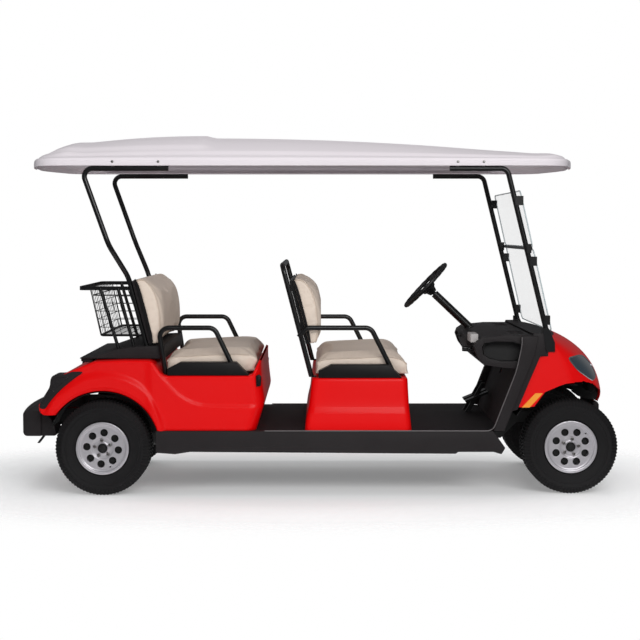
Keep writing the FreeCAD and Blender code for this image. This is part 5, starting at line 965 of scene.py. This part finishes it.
# Smooth lining plastic inside bins and cups, made blacker than the dash as painted shade, because little light reaches
# it.
painted_shade_lining = finish("painted_shade_lining", "#0B0A0B", "#131213", 200, (0.5, 0.65), 2.0, 0.3)
# Grey moulded switch panel: pale, even and matt, with a grain of 1.7 mm.
grey_plastic = finish("grey_plastic", "#A7A3A2", "#989493", 200, (0.4, 0.5), 1.7, 0.15)
dress(powder_coat, "pedals")
softened("dashboard", 0.002, black_polypropylene)


def block(bm, low, high):
    """A box between two corners."""
    low, high = Vector(low), Vector(high)
    bmesh.ops.create_cube(bm, size=1.0, matrix=Matrix.Translation((low + high) / 2)
                          @ Matrix.Diagonal((*(high - low), 1.0)))


def build_dash_fittings():
    """Linings of the end bins and the cup places, the switch panel and the knobs."""
    mouth = [(0.792 + 0.330 * across, 0.632 + 0.170 * up) for across, up in bin_mouth]
    middle = (sum(x for x, _ in mouth) / len(mouth), sum(z for _, z in mouth) / len(mouth))
    # The bin and cup linings carry painted shade: they are blacker than the dash around them.
    lining = bmesh.new()
    for side in BOTH:
        rings = []
        for y, share in ((0.5555, 0.905), (0.4990, 0.895), (0.4975, 0.88), (0.4972, 0.3)):
            rings.append([(middle[0] + (x - middle[0]) * share, side * y, middle[1] + (z - middle[1]) * share)
                          for x, z in mouth])
        bm, grid = sheet_of(rings, closed_columns=True, into=lining)
        bm.faces.new(grid[-1])
    show("dash_bin_linings", walled(lining, "dash_bin_linings", 0.0012), "cart", painted_shade_lining)
    cups = bmesh.new()
    for y in (-0.382, -0.278, 0.278, 0.382):
        wall = ((0.0392, 0.7990), (0.0388, 0.7480), (0.0370, 0.7465), (0.0, 0.7463))
        turned(cups, [(1.028 + radius, y, z) for radius, z in wall], (1.028, y, 0), (0, 0, 1), 40)
    show("cup_linings", walled(cups, "cup_linings", 0.0008), "cart", painted_shade_lining)
    panel = bmesh.new()
    block(panel, (0.7765, -0.520, 0.764), (0.8150, -0.360, 0.806))
    show("control_panel", rounded(panel, "control_panel", 0.002, 2), "cart", grey_plastic)
    knobs = bmesh.new()
    for y, z, radius, reach in ((-0.420, 0.726, 0.016, 0.046), (0.217, 0.748, 0.010, 0.016),
                                (0.180, 0.760, 0.006, 0.010)):
        peg(knobs, Vector((0.794, y, z)), Vector((0.790 - reach * 0.4, y, z)), radius * 0.6, 20)
        peg(knobs, Vector((0.790 - reach * 0.4, y, z)), Vector((0.790 - reach, y, z)), radius, 24, 0.86)
    show("dash_knobs", rounded(knobs, "dash_knobs", 0.0015, 2, 40), "cart", powder_coat)


build_dash_fittings()


# Steering wheel and column
# A steel ring with three spokes, covered in soft moulded urethane with finger swells behind the rim. Its hub goes
# down on the splined end of the column, which is coated tube from the rack to the dash.

# Moulded urethane with a 1.1 mm leather grain: soft black, never glossy, even where hands have rubbed it.
grip_urethane = finish("grip_urethane", "#0C0C0D", "#131314", 167, (0.4, 0.55), 1.1, 0.15, True)
dress(powder_coat, "steering_column")


def build_steering_wheel():
    """The ring, its three spokes, the hub and the end of the shaft, in one moulding."""
    hub = Vector((0.654, 0.280, 0.977))
    axis = Vector((-0.725374, 0, 0.688355))
    side = Vector((0, 1, 0))
    up = axis.cross(side).normalized()

    def spot(radius, degrees, along):
        turn = math.radians(degrees)
        return hub + axis * along + (side * math.cos(turn) + up * math.sin(turn)) * radius

    rim = bmesh.new()
    rings = []
    for step in range(120):
        degrees = 3 * step
        grip = 0.0112 + 0.0006 * math.cos(math.radians(degrees * 20))
        centre = spot(0.155, degrees, 0.066)
        out = (spot(1.0, degrees, 0) - hub).normalized()
        rings.append([centre + (out * math.cos(a) + axis * math.sin(a)) * grip
                      for a in (math.tau * k / 16 for k in range(16))])
    sheet_of(rings, closed_rows=True, closed_columns=True, into=rim)
    for middle in (90, 210, 330):
        rows = []
        for t in (0.0, 0.25, 0.5, 0.75, 1.0):
            radius = 0.030 + 0.125 * t
            along = 0.046 + 0.020 * eased(t * 1.1)
            wide = 0.021 - 0.008 * math.sin(math.pi * min(t * 1.1, 1.0)) + 0.004 * t
            thick = 0.0060
            across = (spot(1.0, middle + 90, 0) - hub).normalized()
            centre = spot(radius, middle, along)
            rows.append([centre + across * wide * math.cos(a) + axis * thick * math.sin(a)
                         for a in (math.tau * k / 16 for k in range(16))])
        lofted(rows, into=rim)
    profile = ((0.0, 0.004), (0.020, 0.004), (0.024, 0.010), (0.030, 0.028), (0.040, 0.034), (0.043, 0.046),
               (0.042, 0.056), (0.036, 0.062), (0.020, 0.065), (0.0, 0.066))
    turned(rim, [spot(r, 0, along) for r, along in profile], hub, axis, 36)
    peg(rim, spot(0, 0, 0.008), spot(0, 0, -0.118), 0.0108, 20)
    bmesh.ops.remove_doubles(rim, verts=rim.verts, dist=1e-5)
    show("steering_wheel_grip", as_mesh(rim, "steering_wheel_grip"), "steering_wheel_body",
         grip_urethane, ("steering_wheel",), smooth=45)


build_steering_wheel()


# Seat cushions
# Two benches of moulded foam under sewn vinyl, each glued to a board that tips up as a lid. Piping closes the seams
# round their end panels. The foam swells the cover between its seams, lowest where people sit.

def near_ring(point, ring, reach):
    """Whether a point lies within reach of a closed line of points."""
    for index, here in enumerate(ring):
        after = ring[(index + 1) % len(ring)]
        run = after - here
        share = min(max((point - here).dot(run) / max(run.length_squared, 1e-12), 0.0), 1.0)
        if (here + run * share - point).length < reach:
            return True
    return False


def inflated(mesh, held, reach, pressure):
    """Cloth pushed out by the foam inside it, held along its seams and where it rests."""
    item = bpy.data.objects.new(mesh.name + "_cloth", mesh)
    bpy.context.scene.collection.objects.link(item)
    item.vertex_groups.new(name="held").add(held, 1.0, "REPLACE")
    cloth = item.modifiers.new("cloth", "CLOTH")
    fabric = cloth.settings
    fabric.quality = 4
    fabric.mass = 0.25
    fabric.tension_stiffness = 9
    fabric.compression_stiffness = 9
    fabric.shear_stiffness = 4
    fabric.bending_stiffness = 0.3
    fabric.shrink_min = -0.02
    fabric.use_pressure = True
    fabric.uniform_pressure_force = pressure
    fabric.vertex_group_mass = "held"
    fabric.effector_weights.gravity = 0
    cloth.point_cache.frame_end = 20
    for moment in range(1, 21):
        bpy.context.scene.frame_set(moment)
    graph = bpy.context.evaluated_depsgraph_get()
    after = [vert.co.copy() for vert in item.evaluated_get(graph).data.vertices]
    bpy.data.objects.remove(item)
    bpy.context.scene.frame_set(1)
    for vert, co in zip(mesh.vertices, after):
        move = co - vert.co
        if move.length > reach:
            move *= reach / move.length
        vert.co = vert.co + move


def upholstered(name, outline, half, crown, rest_on, box, piped):
    """A bench pad: foam under sewn vinyl, with piping round both of its end panels."""
    stations = [-half + 0.0015, -half + 0.0055]
    stations += [-half + 0.012 + (2 * half - 0.024) * step / 44 for step in range(45)]
    stations += [half - 0.0055, half - 0.0015]
    rings = []
    for y in stations:
        from_end = half - abs(y)
        trim = 0.007 * (1 - eased(from_end / 0.006))
        rings.append([Vector(point) for point in crown(outline, y, trim)])
    seams = [rings[1], rings[-2]]
    mesh = modified(as_mesh(lofted(rings), name), name, [
        ("REMESH", {"mode": "VOXEL", "voxel_size": 0.009, "use_smooth_shade": True}),
        ("SMOOTH", {"factor": 0.5, "iterations": 2})])
    held = [vert.index for vert in mesh.vertices
            if rest_on(vert.co) or (half - abs(vert.co.y) < 0.016 and
                                    near_ring(vert.co, seams[0] if vert.co.y < 0 else seams[1], 0.0065))]
    inflated(mesh, held, 0.014, 4.0)
    low, high = box
    for vert in mesh.vertices:
        for axis in range(3):
            vert.co[axis] = min(max(vert.co[axis], low[axis]), high[axis])
    mesh = modified(mesh, name, [("SUBSURF", {"levels": 1, "render_levels": 1})])
    piping = bmesh.new()
    for ring in seams:
        start = min(range(len(ring)), key=lambda index: (piped(ring[index]), -ring[index].x))
        turned = ring[start:] + ring[:start]
        tube_into(piping, [point for point in turned if piped(point)], 0.0026, 8)
    return mesh, as_mesh(piping, name + "_piping")


def both_dished(y, half):
    """How far the pad sinks where each of its two people sits."""
    return 0.5 - 0.5 * math.cos(math.tau * min(abs(y) / half, 1.0))


front_cushion_outline = (
    (0.04, 0.0), (0.012, 0.05), (0.0, 0.18), (0.0, 0.38), (0.006, 0.58), (0.025, 0.72), (0.06, 0.81), (0.12, 0.86),
    (0.28, 0.91), (0.48, 0.95), (0.64, 0.985), (0.75, 0.998), (0.83, 0.975), (0.895, 0.91), (0.945, 0.79),
    (0.978, 0.62), (0.995, 0.42), (0.998, 0.22), (0.985, 0.06), (0.955, 0.0))
rear_cushion_outline = (
    (0.04, 0.0), (0.012, 0.05), (0.0, 0.18), (0.0, 0.38), (0.006, 0.58), (0.025, 0.72), (0.06, 0.81), (0.12, 0.86),
    (0.28, 0.91), (0.48, 0.95), (0.66, 0.985), (0.78, 0.998), (0.87, 0.975), (0.935, 0.92), (0.978, 0.82),
    (0.998, 0.66), (0.994, 0.48), (0.975, 0.28), (0.948, 0.10), (0.915, 0.0))
# Embossed vinyl on cloth: warm beige with a soft sheen, its pebble of 1.25 mm catching light on every curve.
bench_vinyl = finish("bench_vinyl", "#DCCCBD", "#D0C0B1", 333, (0.42, 0.56), 1.25, 0.4, True)
# The same vinyl wrapped on cord for piping: a shade darker than the cover.
piping_vinyl = finish("piping_vinyl", "#CBBBAC", "#BCAC9D", 111, (0.45, 0.55), 1.1, 0.3)


def cushion_shape(rear, low, length, height):
    """A bench cushion's section at a place across it: dished for two people and drawn in at its ends."""
    def crown(outline, y, trim):
        top_drop = 0.20 * (1 - eased((0.474 - abs(y)) / 0.11)) + 0.065 * both_dished(y, 0.474)
        points = []
        for across, up in loop_through(outline, 4):
            lift = up * (1 - top_drop * eased((up - 0.3) / 0.5))
            bow = 0.010 * both_dished(y, 0.474) * eased((across - 0.8) / 0.2)
            x = rear + length * (0.5 + (across - 0.5) * (1 - 2 * trim / length)) - bow
            z = low + 0.001 + (height - 0.006) * (0.5 + (lift - 0.5) * (1 - 2 * trim / height))
            points.append((x, y, z))
        return points
    return crown


for body, name, rear, outline in (("front_seat_lid", "front_seat_cushion", 0.004, front_cushion_outline),
                                  ("rear_seat_lid", "rear_seat_cushion", -0.752, rear_cushion_outline)):
    low = 0.600 if body == "front_seat_lid" else 0.612
    height = 0.713 - low if body == "front_seat_lid" else 0.727 - low
    pad_mesh, piping_mesh = upholstered(
        name + "_pad", outline, 0.474, cushion_shape(rear, low, 0.460, height),
        lambda co, low=low: co.z < low + 0.006,
        ((rear - 0.004, -0.4765, low + 0.0005), (rear + 0.468, 0.4765, low + height + 0.006)),
        lambda co, low=low, body=body: co.z > low + 0.047 and (body == "front_seat_lid" or co.x < -0.335))
    pad = show(name + "_pad", pad_mesh, body, bench_vinyl, (name,), smooth=0)
    show(name + "_piping", piping_mesh, body, piping_vinyl, smooth=0)


# Seat backs and their frames
# Both back pads are foam and vinyl on a curved board, bowed and raked 14.6 degrees. Black moulded trays wrap their
# rear edges, a shell backs the rear one, and coated tube carries the front one and the hip rails.

back_outline = (
    (0.63, 0.006), (0.74, 0.0), (0.85, 0.015), (0.93, 0.06), (0.98, 0.14), (1.0, 0.26), (0.998, 0.40), (0.97, 0.54),
    (0.915, 0.66), (0.83, 0.765), (0.71, 0.86), (0.57, 0.93), (0.42, 0.975), (0.28, 0.997), (0.15, 0.998),
    (0.05, 0.985), (0.015, 0.955), (0.06, 0.87), (0.32, 0.46), (0.59, 0.035))


def back_shape(rear, low, depth, height):
    """A back pad's section at a place across it: raked, dished and drawn in at its ends."""
    def crown(outline, y, trim):
        dish = 0.10 * both_dished(y, 0.474)
        ends = 0.13 * (1 - eased((0.474 - abs(y)) / 0.10))
        points = []
        for across, up in loop_through(outline, 4):
            ahead = across - (0.623 - 0.633 * up)
            ahead *= 1 - (dish * eased((0.95 - up) / 0.4) + ends) * eased(ahead / 0.4)
            x = rear + 0.004 + (depth - 0.006) * (0.623 - 0.633 * up + ahead)
            z = low + 0.003 + (height - 0.006) * (1 - 0.02 * ends / 0.13) * up
            points.append((x + trim * (0.5 - across), y, z + trim * (0.5 - up)))
        return points
    return crown


backs = bmesh.new()
pipings = bmesh.new()
for name, rear in (("front_back", -0.112), ("rear_back", -0.908)):
    line = rear + 0.082
    pad_mesh, piping_mesh = upholstered(
        name, back_outline, 0.474, back_shape(rear - 0.004, 0.752, 0.138, 0.336),
        lambda co, line=line: co.x < line - (co.z - 0.752) * math.tan(math.radians(14.6)) + 0.012,
        ((rear - 0.002, -0.4765, 0.7505), (rear + 0.138, 0.4765, 1.092)), lambda co: co.z > 0.759)
    backs.from_mesh(pad_mesh)
    pipings.from_mesh(piping_mesh)
pads = show("seat_back_pads", as_mesh(backs, "seat_back_pads"), "cart", bench_vinyl, ("seat_backs",),
            smooth=0)
show("seat_back_piping", as_mesh(pipings, "seat_back_piping"), "cart", piping_vinyl, smooth=0)


def back_line(rear, z):
    """The rear edge of a back pad at a height."""
    return rear + 0.086 - (z - 0.752) * math.tan(math.radians(14.6))


def build_back_trays():
    """The black tray that wraps the rear edge of each back pad, and shows at its ends."""
    tray = bmesh.new()
    for rear in (-0.112, -0.908):
        outline = []
        for z, deep in ((0.762, 0.004), (0.80, 0.009), (0.90, 0.011), (1.00, 0.011), (1.045, 0.009), (1.070, 0.004),
                        (1.082, 0.000)):
            outline.append((back_line(rear, z) + deep, z))
        for z in (1.080, 1.060, 1.00, 0.90, 0.80, 0.764):
            outline.append((back_line(rear, z) - 0.006, z))
        both_plates(tray, outline, 0.4768, 0.4792)
    show("back_trays", rounded(tray, "back_trays", 0.0008, 1), "cart", trim_plastic)


build_back_trays()
softened("rear_seat_back_shell", 0.005, black_polypropylene)
softened("seat_trims", 0.004, trim_plastic)
dress(powder_coat, "front_seat_back_frame", "hip_rails")


# Basket
# A wire carrier behind the rear seat: drawn wire welded in a grid to a flat steel rim, on four stays that bolt to
# the deck. All of it is dipped in black plastic.

# Dip-coated wire: matt black with no highlight, lumpy at its welds about every 50 mm.
coated_wire = finish("coated_wire", "#0A0A0A", "#121212", 50, (0.5, 0.65), 1.1, 0.4)


def build_basket():
    """Wire basket: a flat rim with a lip behind, wire walls and floor, and tube stays down to the deck."""
    top, low, half = 1.040, 0.792, 0.400
    rim_rear, rim_front = -1.204, -0.953
    wall_rear, wall_front = (-1.146, -1.094), (-0.955, -0.872)

    def rear_at(z):
        return wall_rear[1] + (wall_rear[0] - wall_rear[1]) * (z - low) / (top - low)

    def front_at(z):
        return wall_front[1] + (wall_front[0] - wall_front[1]) * (z - low) / (top - low)

    net = bmesh.new()

    def wire(points, radius=0.0017):
        tube_into(net, points, radius, 6)

    for step in range(1, 6):
        z = low + 0.041 * step
        path = [(front_at(z), -half, z), (rear_at(z), -half, z), (rear_at(z), half, z), (front_at(z), half, z)]
        wire(eased_path(path, [0.02, 0.02], 3))
        wire([(front_at(z), -half, z), (front_at(z), half, z)])
    for share in (0.12, 0.30, 0.48, 0.66, 0.84):
        for y in (-half, half):
            wire([(rear_at(top) + (front_at(top) - rear_at(top)) * share, y, top - 0.012),
                  (rear_at(low) + (front_at(low) - rear_at(low)) * share, y, low)])
    for step in range(15):
        y = -half + 2 * half * (step + 0.5) / 15
        wire([(rim_rear + 0.004, y, top - 0.006), (rear_at(top - 0.018), y, top - 0.018), (rear_at(low), y, low),
              (front_at(low), y, low), (front_at(top), y, top - 0.006)])
    for share in (0.2, 0.4, 0.6, 0.8):
        x = rear_at(low) + (front_at(low) - rear_at(low)) * share
        wire([(x, -half, low), (x, half, low)])
    show("basket_net", as_mesh(net, "basket_net"), "cart", coated_wire, ("basket",), smooth=60)
    frame_bm = bmesh.new()
    band = eased_path([(rim_front, -half, top - 0.009), (rim_rear, -half, top - 0.009),
                       (rim_rear, half, top - 0.009), (rim_front, half, top - 0.009)], [0.04, 0.04], 6)
    for points in (band, [(rim_front, half, top - 0.009), (rim_front, -half, top - 0.009)]):
        rings = []
        for index, point in enumerate(points):
            point = Vector(point)
            before = Vector(points[max(index - 1, 0)])
            after = Vector(points[min(index + 1, len(points) - 1)])
            side = (after - before).normalized().cross(Vector((0, 0, 1))) * 0.0022
            up = Vector((0, 0, 0.010))
            rings.append([point - side - up, point + side - up, point + side + up, point - side + up])
        lofted(rings, into=frame_bm)
    for z, radius in ((top - 0.044, 0.0032), (low, 0.0062)):
        path = eased_path([(front_at(z), -half, z), (rear_at(z), -half, z), (rear_at(z), half, z),
                           (front_at(z), half, z)], [0.03, 0.03], 5)
        tube_into(frame_bm, path, radius, 10)
        tube_into(frame_bm, [(front_at(z), -half, z), (front_at(z), half, z)], radius, 10)
    for side in BOTH:
        y = side * (half + 0.004)
        for x_top, x_foot in ((-1.096, -1.003), (-1.006, -0.922)):
            tube_into(frame_bm, [(x_top, y, top - 0.008), (x_foot, y, 0.716)], 0.0088, 12)
        for x_top, x_low in ((wall_rear[0], wall_rear[1]), (wall_front[0], wall_front[1])):
            tube_into(frame_bm, [(x_top, side * half, top - 0.012), (x_low, side * half, low)], 0.0032, 8)
    show("basket_frame", as_mesh(frame_bm, "basket_frame"), "cart", powder_coat, smooth=60)


build_basket()


# Roof and posts
# The roof is one white moulded skin with a drip rail pressed round a raised middle and a rolled rim. Bolts through
# flat flanges hold it to four posts of bent steel tube.

# White sheet plastic, drawn over a mould: clean off-white, a soft gloss on its crown and a very slight orange peel.
white_plastic = finish("white_plastic", "#E6DFE3", "#DCD5D9", 500, (0.28, 0.4), 1.43, 0.06, Specular_IOR_Level=0.35)
dress(powder_coat, "roof_posts")

roof_crown = ((0.0, 0.08), (0.02, 0.30), (0.05, 0.50), (0.10, 0.72), (0.22, 0.95), (0.34, 1.0), (0.53, 0.93),
              (0.70, 0.76), (0.84, 0.54), (0.93, 0.39), (0.975, 0.24), (1.0, 0.06))
ROOF_REAR, ROOF_FRONT, ROOF_HALF, ROOF_LOW, ROOF_RIM, ROOF_CROWN = -1.478, 1.338, 0.590, 1.645, 0.040, 0.136


def roof_half_at(x):
    """Half width of the roof's plan: bowed ends with round corners."""
    from_end = min(x - ROOF_REAR, ROOF_FRONT - x)
    straight = ROOF_HALF - 0.150
    if from_end < 0.070:
        return straight * math.sqrt(max(from_end, 0.0) / 0.070)
    if from_end < 0.220:
        return straight + 0.150 * math.sqrt(1 - (1 - (from_end - 0.070) / 0.150) ** 2)
    return ROOF_HALF


def roof_top(x, y):
    """Height of the roof's skin over its plan, with a gutter round a raised middle panel."""
    share = (x - ROOF_REAR) / (ROOF_FRONT - ROOF_REAR)
    crown = ROOF_CROWN * smooth_through(roof_crown, share)
    half = max(roof_half_at(x), 0.02)
    arch = 1 - min(abs(y) / half, 1.0) ** 2
    inset = min(half - abs(y), x - ROOF_REAR, ROOF_FRONT - x)
    gutter = -0.007 * math.exp(-((inset - 0.062) / 0.016) ** 2)
    panel = 0.004 * eased((inset - 0.075) / 0.02)
    rib = -0.004 * eased((abs(y) - 0.19) / 0.012) * eased((0.245 - abs(y)) / 0.012) * eased((inset - 0.14) / 0.05)
    raised = 0.012 * eased((-0.530 - x) / 0.035) * eased((inset - 0.11) / 0.06)
    shoulder = 0.010 * math.exp(-((x + 1.250) / 0.055) ** 2) * eased((inset - 0.03) / 0.08)
    front_lip = 0.009 * math.exp(-((x - 1.205) / 0.050) ** 2) * eased((inset - 0.02) / 0.06)
    return ROOF_LOW + ROOF_RIM - 0.006 + (crown - 0.008) * arch + gutter + panel + rib + raised + shoulder + front_lip


def build_roof():
    """The skin with its rolled edge, then the flanges that lie on the posts, then the bolts."""
    along = [ROOF_REAR + 0.070 * (step / 8) ** 2 for step in range(1, 9)]
    along += [ROOF_REAR + 0.070 + 0.150 * (1 - math.cos(math.radians(90 * step / 8))) for step in range(1, 9)]
    start, end = along[-1], ROOF_FRONT - (along[-1] - ROOF_REAR)
    along += [start + (end - start) * step / 90 for step in range(1, 90)]
    along += [ROOF_FRONT - (x - ROOF_REAR) for x in reversed(along[:16])]
    shares = [math.sin(math.radians(90 * step / 34)) ** 0.85 for step in range(1, 35)]
    across = [-share for share in reversed(shares)] + [0.0] + shares
    rows = []
    for x in along:
        half = roof_half_at(x)
        row = []
        for share in across:
            y = share * half
            edge = min(half * (1 - abs(share)), x - ROOF_REAR, ROOF_FRONT - x)
            drop = 0.010 * (1 - eased(edge / 0.012))
            row.append((x, y, roof_top(x, y) - drop))
        side = half - 0.0005
        low = [(x, -side, ROOF_LOW + 0.006), (x, -side + 0.003, ROOF_LOW), (x, -side + 0.010, ROOF_LOW + 0.0005)]
        high = [(x, side, ROOF_LOW + 0.006), (x, side - 0.003, ROOF_LOW), (x, side - 0.010, ROOF_LOW + 0.0005)]
        rows.append(list(reversed(low)) + row + high)
    bm, grid = sheet_of(rows)
    for end_row, x_out, sign in ((grid[0], ROOF_REAR, -1), (grid[-1], ROOF_FRONT, 1)):
        lower = [bm.verts.new((x_out, vert.co.y * 0.98, ROOF_LOW + 0.004)) for vert in end_row[3:-3]]
        inner = [bm.verts.new((x_out - sign * 0.012, vert.co.y * 0.95, ROOF_LOW + 0.0005)) for vert in end_row[3:-3]]
        top = end_row[3:-3]
        for first, second in ((top, lower), (lower, inner)):
            for index in range(len(first) - 1):
                bm.faces.new((first[index], first[index + 1], second[index + 1], second[index]))
    mesh = walled(bm, "roof_shell", 0.0035)
    show("roof_shell", mesh, "cart", white_plastic, ("roof_canopy",), smooth=50)
    flange = bmesh.new()
    for side in BOTH:
        low, high = sorted((side * 0.532, side * 0.584))
        block(flange, (-1.20, low, ROOF_LOW + 0.0005), (0.99, high, ROOF_LOW + 0.0055))
    show("roof_flanges", rounded(flange, "roof_flanges", 0.0012, 2), "cart", white_plastic)
    bolts = bmesh.new()
    for side in BOTH:
        for x in (-1.026, -0.799, 0.681, 0.809):
            spot = Vector((x + 0.0213, side * 0.5905, 1.664))
            peg(bolts, spot, spot + Vector((0, side * 0.0035, 0)), 0.007, 14, 0.75)
            under = Vector((x + 0.0213, side * 0.556, 1.6445))
            peg(bolts, under, under - Vector((0, 0, 0.006)), 0.009, 6)
    show("roof_bolts", rounded(bolts, "roof_bolts", 0.0008, 2, 40), "cart", zinc_plate)


build_roof()


# Windshield
# Two flat panes of clear acrylic between the front posts, the upper one folding down on the lower. Each has round
# corners and a polished edge, and clips to coated steel mounts.

# Clear cast acrylic: all but unseen, with a faint cool cast and a clean reflection.
clear_acrylic = finish("clear_acrylic", "#DDE6E9", "#D5E0E4", 500, (0.02, 0.05), 25, 0.0, Alpha=0.1, IOR=1.49)
# Painted highlight for the sawn and polished edge of the same sheet: a pale outline that stands for the light gathering
# in it.
acrylic_edge_painted_highlight = finish("acrylic_edge_painted_highlight", "#C4D0D3", "#B4C2C6", 200, (0.1, 0.2), 11, 0.1, Alpha=0.6, IOR=1.49)
dress(powder_coat, "windshield_mounts")


def pane_into(bm, foot, head, half, radius, thick):
    """A flat pane with round corners between two side-view points."""
    run = Vector((head[0] - foot[0], 0, head[1] - foot[1]))
    length = run.length
    ahead = run.normalized()
    out = Vector((ahead.z, 0, -ahead.x)) * thick
    rings = []
    for inset, lift in ((0.0012, 0.0), (0.0, 0.2), (0.0, 0.8), (0.0012, 1.0)):
        plan = rounded_plan(inset, length - inset, half - inset, radius, 6)
        rings.append([Vector((foot[0], y, foot[1])) + ahead * along + out * lift for along, y in plan])
    return lofted(rings, into=bm)


def build_windshield():
    """Two panes with a fold between them, and a painted highlight along their edges."""
    fold = (1.080, 1.235)
    panes = bmesh.new()
    pane_into(panes, (1.176, 0.822), (fold[0] + 0.002, fold[1] - 0.006), 0.546, 0.030, 0.005)
    pane_into(panes, (fold[0] - 0.002, fold[1] + 0.006), (1.014, 1.522), 0.546, 0.030, 0.005)
    show("windshield_panes", as_mesh(panes, "windshield_panes"), "cart", clear_acrylic,
         ("windshield",), smooth=40)
    # A pale tube round each pane, as a painted highlight of its edge.
    edge_highlights = bmesh.new()
    for foot, head in (((1.176, 0.822), (1.082, 1.229)), ((1.078, 1.241), (1.014, 1.522))):
        run = Vector((head[0] - foot[0], 0, head[1] - foot[1]))
        ahead = run.normalized()
        out = Vector((ahead.z, 0, -ahead.x)) * 0.0025
        plan = rounded_plan(0.001, run.length - 0.001, 0.545, 0.029, 6)
        path = [Vector((foot[0], y, foot[1])) + ahead * along + out for along, y in plan]
        tube_into(edge_highlights, path, 0.0036, 8, closed=True)
    show("windshield_edge_highlights", as_mesh(edge_highlights, "windshield_edge_highlights"), "cart", acrylic_edge_painted_highlight)


build_windshield()


# Ground, backdrop, light and camera
# A white painted studio floor that fades into a white surround, so that only the cart's shadow shows on it. One
# large soft light keys from the front right, and four weaker ones fill from the sides, above, below and behind.

# Matt emulsion on a smooth floor: even white that keeps a soft shadow, helped by a little light of its own.
floor_white = finish("floor_white", "#F8F8F8", "#F5F5F5", 1000, (0.6, 0.7), 5, 0.02,
                     Emission_Color=(1, 1, 1, 1), Emission_Strength=0.2)
tree = floor_white.node_tree
spot = add(tree, "TexCoord", {})
wide = add(tree, "VectorMath", {0: spot.outputs["Object"], 1: (0.36, 0.62, 0.0)}, operation="MULTIPLY")
far = add(tree, "VectorMath", {0: wide.outputs["Vector"]}, operation="LENGTH")
fade = add(tree, "MapRange", {"Value": far.outputs["Value"], "From Min": 0.45, "From Max": 1.0},
           interpolation_type="SMOOTHSTEP")
clear = add(tree, "BsdfTransparent", {})
mixed = add(tree, "MixShader", {0: fade.outputs["Result"], 1: tree.nodes["Principled BSDF"].outputs[0],
                                2: clear.outputs[0]})
tree.links.new(mixed.outputs[0], tree.nodes["Material Output"].inputs["Surface"])
slab = bmesh.new()
block(slab, (-9, -9, -0.02), (9, 9, 0))
floor_mesh = as_mesh(slab, "studio_floor")
floor_mesh.materials.append(floor_white)
floor = bpy.data.objects.new("studio_floor", floor_mesh)
scene = bpy.context.scene
scene.collection.objects.link(floor)

world = bpy.data.worlds.new("studio")
scene.world = world
world.use_nodes = True
sky = world.node_tree
sky.nodes.clear()
ray = add(sky, "LightPath", {})
lit = add(sky, "Background", {"Color": colour("#F2F4F7"), "Strength": 0.38})
reflected = add(sky, "Background", {"Color": colour("#F2F4F7"), "Strength": 0.16})
seen = add(sky, "Background", {"Color": (1, 1, 1, 1), "Strength": 1.0})
unseen = add(sky, "MixShader", {0: ray.outputs["Is Glossy Ray"], 1: lit.outputs[0], 2: reflected.outputs[0]})
whole = add(sky, "MixShader", {0: ray.outputs["Is Camera Ray"], 1: unseen.outputs[0], 2: seen.outputs[0]})
add(sky, "OutputWorld", {"Surface": whole.outputs[0]})


def soft_light(name, place, target, power, extent, reflected=False):
    """A soft box: where it hangs, what it faces, its watts, its sides in metres, and whether gloss shows it."""
    data = bpy.data.lights.new(name, "AREA")
    data.energy = power
    data.shape = "RECTANGLE"
    data.size, data.size_y = extent
    lamp = bpy.data.objects.new(name, data)
    lamp.location = place
    lamp.visible_glossy = reflected
    lamp.rotation_euler = (Vector(target) - Vector(place)).to_track_quat("-Z", "Y").to_euler()
    scene.collection.objects.link(lamp)


soft_light("key", (1.6, -5.4, 3.4), (0, 0, 0.7), 172, (4.0, 2.0), True)
soft_light("fill", (-4.5, -4.5, 2.0), (0, 0, 0.7), 60, (2.5, 1.6))
soft_light("top", (0, 0.4, 5.4), (0, 0, 0), 82, (5.0, 3.0))
soft_light("lift", (0, -3.6, 0.25), (0, 0.1, 1.7), 28, (4.5, 0.8))
soft_light("back", (0, 5.0, 3.2), (0, 0, 0.8), 70, (5.0, 2.0))

camera_data = bpy.data.cameras.new("photo_camera")
camera_data.lens = 36 * 1495 / 640
camera_data.clip_end = 60
camera = bpy.data.objects.new("photo_camera", camera_data)
camera.location = (0.0213, -8.0, 1.322)
camera.rotation_euler = (math.radians(90 - 3.407), 0, 0)
scene.collection.objects.link(camera)
scene.camera = camera
scene.view_settings.view_transform = "Standard"
